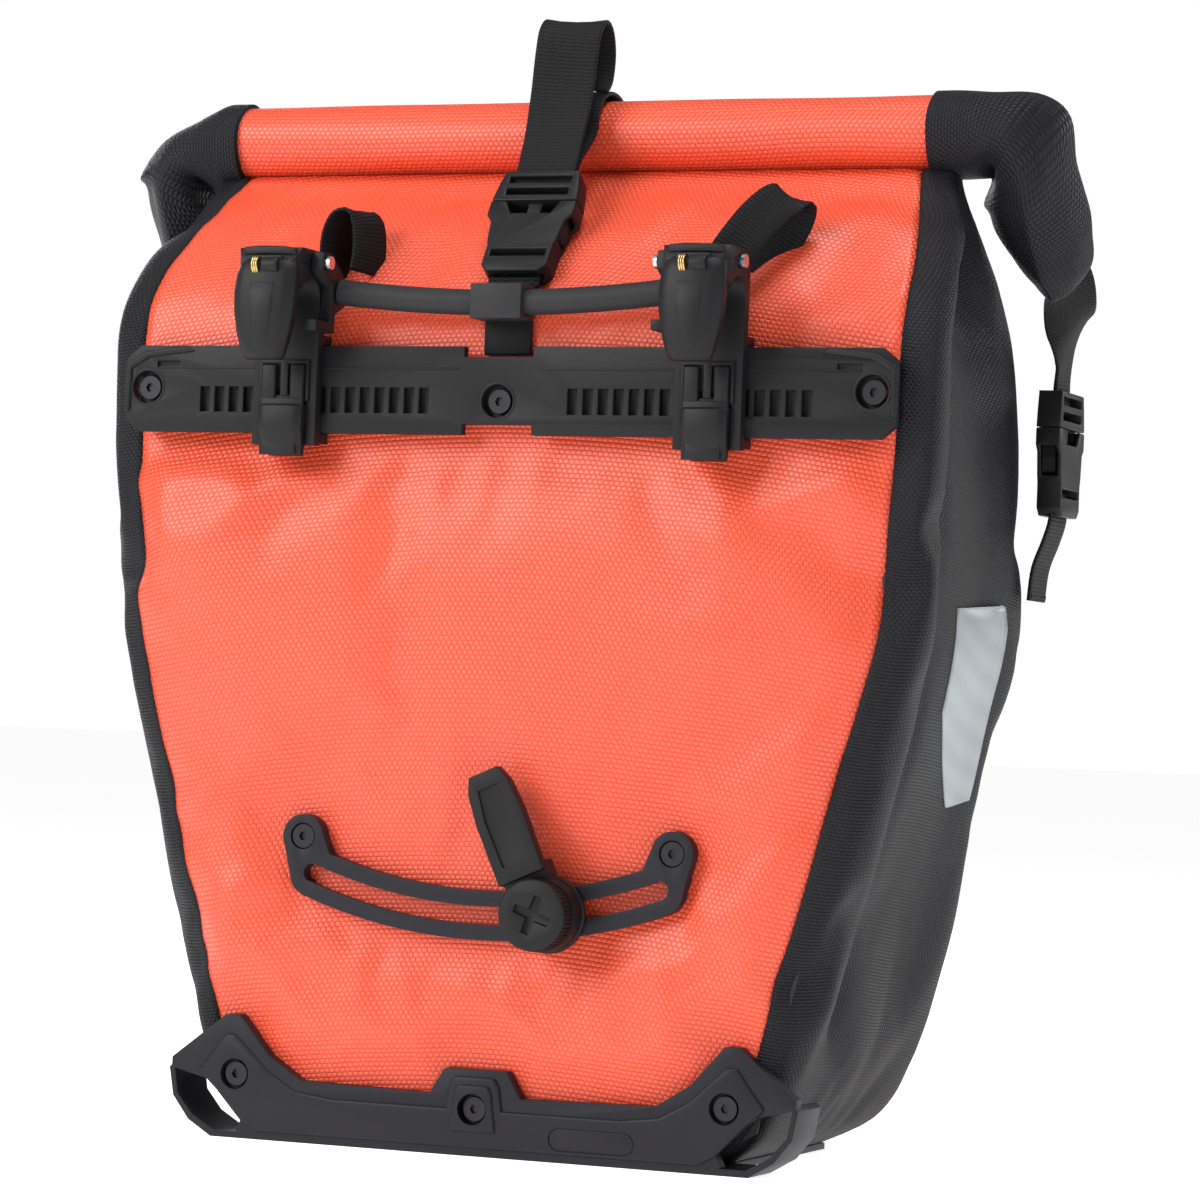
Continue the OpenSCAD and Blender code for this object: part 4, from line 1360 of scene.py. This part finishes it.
def node_tree(name, inputs):
    """A Geometry Nodes tree that takes geometry and named float inputs."""
    tree = bpy.data.node_groups.new(name, "GeometryNodeTree")
    tree.interface.new_socket("Geometry", in_out="INPUT", socket_type="NodeSocketGeometry")
    for key, value in inputs.items():
        socket = tree.interface.new_socket(key, in_out="INPUT", socket_type="NodeSocketFloat")
        socket.default_value = value
    tree.interface.new_socket("Geometry", in_out="OUTPUT", socket_type="NodeSocketGeometry")
    return tree, tree.nodes.new("NodeGroupInput"), tree.nodes.new("NodeGroupOutput")


UNIT_SHAPES = {
    "stitch": ("GeometryNodeMeshUVSphere", {"Segments": 8, "Rings": 6, "Radius": 0.5}),
    "rib": ("GeometryNodeMeshCylinder", {"Vertices": 8, "Radius": 0.5, "Depth": 1.0}),
}


def along_curve(name, runs, body, slot_name, spacing, shape, size):
    """Repeats a small shape along lines of points; size is its length, width and thickness."""
    mesh = bpy.data.meshes.new(name)
    points, edges = [], []
    for run in runs:
        base = len(points)
        points += [tuple(p) for p in run]
        edges += [(base + i, base + i + 1) for i in range(len(run) - 1)]
    mesh.from_pydata(points, edges, [])
    obj = in_scene(name, mesh)
    inputs = {"Spacing": spacing, "Length": size[0], "Width": size[1], "Thickness": size[2]}
    tree, entry, out = node_tree(name + "_nodes", inputs)
    kind, settings = UNIT_SHAPES[shape]
    unit = tree.nodes.new(kind)
    for key, value in settings.items():
        unit.inputs[key].default_value = value
    curve, spaced, put, real, finish = (
        tree.nodes.new("GeometryNode" + step)
        for step in ("MeshToCurve", "CurveToPoints", "InstanceOnPoints", "RealizeInstances", "SetMaterial")
    )
    scale = tree.nodes.new("ShaderNodeCombineXYZ")
    spaced.mode = "LENGTH"
    finish.inputs["Material"].default_value = MATERIALS[slot_name]
    for source, output, target, entrance in (
        (entry, "Geometry", curve, "Mesh"), (curve, "Curve", spaced, "Curve"),
        (entry, "Spacing", spaced, "Length"), (entry, "Width", scale, "X"),
        (entry, "Thickness", scale, "Y"), (entry, "Length", scale, "Z"),
        (spaced, "Points", put, "Points"), (spaced, "Rotation", put, "Rotation"),
        (unit, "Mesh", put, "Instance"), (scale, "Vector", put, "Scale"),
        (put, "Instances", real, "Geometry"), (real, "Geometry", finish, "Geometry"),
        (finish, "Geometry", out, "Geometry"),
    ):
        tree.links.new(source.outputs[output], target.inputs[entrance])
    obj.modifiers.new("Repeat", "NODES").node_group = tree
    apply_modifiers(obj)
    shade_smooth(obj)
    obj.data.materials.clear()
    obj.data.materials.append(MATERIALS[slot_name])
    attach(obj, body)


def build_anchor():
    """The knurled knob and the fin."""
    soften("anchor_slider", "anchor_slider_moulding", 0.0008)
    soften("anchor_fin", "anchor_fin_moulding", 0.0016, segments=3)
    soften("anchor_knob", "anchor_knob_moulding", 0.0007)
    low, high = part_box("anchor_knob")
    centre = (low + high) / 2
    runs = [
        [(centre.x + x, y, centre.z + z) for y in (low.y + 0.0016, high.y - 0.0008)]
        for x, z in on_circle((high.x - low.x) / 2, 54)
    ]
    along_curve(
        "knob_knurl", runs, "anchor_lock", "charcoal_plastic", 0.0011, "rib", (0.0012, 0.00085, 0.0007),
    )


def stitch_runs(corners, count):
    """Straight rows of stitches from corner to corner, clear of the corners themselves."""
    return [
        [Vector(a).lerp(Vector(b), t) for t in np.linspace(0.04, 0.96, count)]
        for a, b in zip(corners, corners[1:])
    ]


def build_stitches():
    """Rows of thread on the ends of the webbing."""
    size = (0.0021, 0.0006, 0.0005)
    y = 0.0846
    x0, x1, z0, z1 = -0.0105, 0.0105, 0.2165, 0.2345
    low_left, low_right, top_right, top_left = (x0, y, z0), (x1, y, z0), (x1, y, z1), (x0, y, z1)
    runs = stitch_runs([low_left, low_right, top_right, top_left, low_left, top_right], 10)
    runs += stitch_runs([low_right, top_left], 10)
    along_curve("closure_strap_stitches", runs, "bag", "thread", 0.0026, "stitch", size)
    runs = []
    for side in (-1, 1):
        corners = [(0.0605, 0.2245), (0.0795, 0.2245), (0.0795, 0.2325), (0.0605, 0.2325), (0.0605, 0.2245)]
        runs += stitch_runs([(side * 0.1704, y, z) for y, z in corners], 8)
    along_curve("side_strap_stitches", runs, "bag", "thread", 0.0026, "stitch", size)


# ---- operators ----


class PannierOperator:
    """What the operators share."""

    bl_options = {"REGISTER"}

    def execute(self, context):
        self.build(context.scene)
        return {"FINISHED"}


class PANNIER_OT_stage(PannierOperator, bpy.types.Operator):
    """Make the floor, the lights and the camera"""

    bl_idname = "pannier.stage"
    bl_label = "Studio"

    def build(self, scene):
        settings = scene.pannier_stage
        back = Vector((
            math.sin(settings.azimuth) * math.cos(settings.pitch),
            -math.cos(settings.azimuth) * math.cos(settings.pitch),
            math.sin(settings.pitch),
        ))
        right = Vector((math.cos(settings.azimuth), math.sin(settings.azimuth), 0.0))
        aim = right * settings.aim_right + Vector((0, FACE_Y, settings.aim_height))
        up = back.cross(right)
        tilt = Matrix.Rotation(-settings.roll, 3, back)
        turned = Matrix((right, up, back)).transposed()
        data = bpy.data.cameras.new("studio_camera")
        data.lens = settings.lens
        data.sensor_width = 36.0
        data.clip_end = 50.0
        camera = in_scene("studio_camera", data)
        camera.matrix_world = (tilt @ turned).to_4x4()
        camera.location = aim + back * settings.distance
        scene.camera = camera
        floor_mesh = bpy.data.meshes.new("studio_floor")
        reach = 30.0
        corners = [(x, y, 0) for x, y in rectangle(-reach, reach, -reach, reach)]
        floor_mesh.from_pydata(corners, [], [(0, 1, 2, 3)])
        floor = in_scene("studio_floor", floor_mesh)
        paint = Paint(
            "studio_floor", Base_Color=(0.80, 0.80, 0.80, 1), Roughness=0.95,
            Emission_Color=(1, 1, 1, 1), Emission_Strength=0.80,
        )
        floor_mesh.materials.append(paint.material)
        world = bpy.data.worlds.new("studio_world")
        world.use_nodes = True
        links, made = world.node_tree.links, world.node_tree.nodes
        sky = made["Background"]
        sky.inputs["Color"].default_value = (1.0, 1.0, 1.0, 1)
        sky.inputs["Strength"].default_value = 0.20
        backdrop = made.new("ShaderNodeBackground")
        backdrop.inputs["Color"].default_value = (1.0, 1.0, 1.0, 1)
        backdrop.inputs["Strength"].default_value = 1.0
        rays = made.new("ShaderNodeLightPath")
        both = made.new("ShaderNodeMixShader")
        links.new(rays.outputs["Is Camera Ray"], both.inputs[0])
        links.new(sky.outputs[0], both.inputs[1])
        links.new(backdrop.outputs[0], both.inputs[2])
        links.new(both.outputs[0], made["World Output"].inputs["Surface"])
        scene.world = world
        scene.view_settings.view_transform = "Standard"
        for name, place, size, power, tint in (
            ("key_light", (-1.20, -1.50, 1.20), 1.25, 39.0, (1.0, 0.99, 0.97)),
            ("fill_light", (1.9, -1.2, 0.5), 1.2, 6.0, (0.97, 0.98, 1.0)),
            ("top_light", (0.25, -0.35, 1.9), 0.7, 17.0, (1, 1, 1)),
            ("rim_light", (1.5, 1.5, 1.1), 0.8, 18.0, (1, 1, 1)),
            ("back_light", (-1.6, 1.5, 0.9), 1.0, 14.0, (1, 1, 1)),
        ):
            lamp = bpy.data.lights.new(name, "AREA")
            lamp.size = size
            lamp.energy = power
            lamp.color = tint
            light = in_scene(name, lamp)
            light.location = place
            light.rotation_euler = (Vector((0, 0, 0.22)) - Vector(place)).to_track_quat("-Z", "Y").to_euler()


class PANNIER_OT_finishes(PannierOperator, bpy.types.Operator):
    """Make the materials"""

    bl_idname = "pannier.finishes"
    bl_label = "Finishes"

    def build(self, scene):
        make_materials(scene.pannier_fabric, scene.pannier_trim)
        for node, slot_name in SLOT_OF.items():
            mesh = NODES[node].data
            mesh.materials.clear()
            mesh.materials.append(MATERIALS[slot_name])


class PANNIER_OT_shell(PannierOperator, bpy.types.Operator):
    """Make the fabric panels and gussets"""

    bl_idname = "pannier.shell"
    bl_label = "Fabric shell"

    def build(self, scene):
        build_shell(scene.pannier_fabric)


class PANNIER_OT_roll(PannierOperator, bpy.types.Operator):
    """Make the rolled closure"""

    bl_idname = "pannier.roll"
    bl_label = "Roll"

    def build(self, scene):
        build_roll(scene.pannier_fabric)


class PANNIER_OT_fittings(PannierOperator, bpy.types.Operator):
    """Round the edges of the moulded fittings"""

    bl_idname = "pannier.fittings"
    bl_label = "Moulded fittings"

    def build(self, scene):
        edge = scene.pannier_trim.edge
        for node in (
            "center_socket", "center_plug", "center_prong_left", "center_prong_right", "hose_clip",
            "lock_lever_left", "lock_lever_right", "side_socket_left", "side_socket_right",
            "side_plug_left", "side_plug_right", "center_tab",
        ):
            soften(node, node + "_moulding", edge)
        soften("arc_rail", "arc_rail_moulding", 0.0013, segments=3)


class PANNIER_OT_rail(PannierOperator, bpy.types.Operator):
    """Make the rack rail"""

    bl_idname = "pannier.rail"
    bl_label = "Rack rail"

    def build(self, scene):
        build_rail()


class PANNIER_OT_hooks(PannierOperator, bpy.types.Operator):
    """Make the rack hooks"""

    bl_idname = "pannier.hooks"
    bl_label = "Rack hooks"

    def build(self, scene):
        build_hooks()


class PANNIER_OT_guard(PannierOperator, bpy.types.Operator):
    """Make the bottom guard"""

    bl_idname = "pannier.guard"
    bl_label = "Bottom guard"

    def build(self, scene):
        build_guard()


class PANNIER_OT_anchor(PannierOperator, bpy.types.Operator):
    """Make the lower anchor"""

    bl_idname = "pannier.anchor"
    bl_label = "Lower anchor"

    def build(self, scene):
        build_anchor()


class PANNIER_OT_webbing(PannierOperator, bpy.types.Operator):
    """Make the straps, the loops and their stitches"""

    bl_idname = "pannier.webbing"
    bl_label = "Webbing"

    def build(self, scene):
        build_closure_strap()
        build_side_straps()
        build_pull_loops()
        build_stitches()


class PANNIER_OT_reflectors(PannierOperator, bpy.types.Operator):
    """Make the reflective patches"""

    bl_idname = "pannier.reflectors"
    bl_label = "Reflectors"

    def build(self, scene):
        build_reflectors()


class PANNIER_PT_panel(bpy.types.Panel):
    """The pannier's operators and settings"""

    bl_idname = "PANNIER_PT_panel"
    bl_label = "Pannier"
    bl_space_type = "VIEW_3D"
    bl_region_type = "UI"
    bl_category = "Pannier"

    def draw(self, context):
        for group in ("pannier_fabric", "pannier_trim", "pannier_stage"):
            settings = getattr(context.scene, group)
            for key in settings.__annotations__:
                self.layout.prop(settings, key)
        for operator in OPERATORS:
            self.layout.operator(operator.bl_idname)


GROUPS = {"pannier_fabric": PannierFabric, "pannier_trim": PannierTrim, "pannier_stage": PannierStage}
OPERATORS = (
    PANNIER_OT_stage, PANNIER_OT_finishes, PANNIER_OT_shell, PANNIER_OT_roll, PANNIER_OT_reflectors,
    PANNIER_OT_rail, PANNIER_OT_hooks, PANNIER_OT_fittings, PANNIER_OT_anchor, PANNIER_OT_guard,
    PANNIER_OT_webbing,
)


def register():
    for name, group in GROUPS.items():
        bpy.utils.register_class(group)
        setattr(bpy.types.Scene, name, bpy.props.PointerProperty(type=group))
    for cls in (*OPERATORS, PANNIER_PT_panel):
        bpy.utils.register_class(cls)


def unregister():
    for cls in (*OPERATORS, PANNIER_PT_panel):
        bpy.utils.unregister_class(cls)
    for name, group in GROUPS.items():
        delattr(bpy.types.Scene, name)
        bpy.utils.unregister_class(group)


def main():
    """Builds everything."""
    register()
    for operator in OPERATORS:
        family, action = operator.bl_idname.split(".")
        getattr(getattr(bpy.ops, family), action)()
    bpy.context.view_layer.update()


if __name__ == "__main__":
    main()
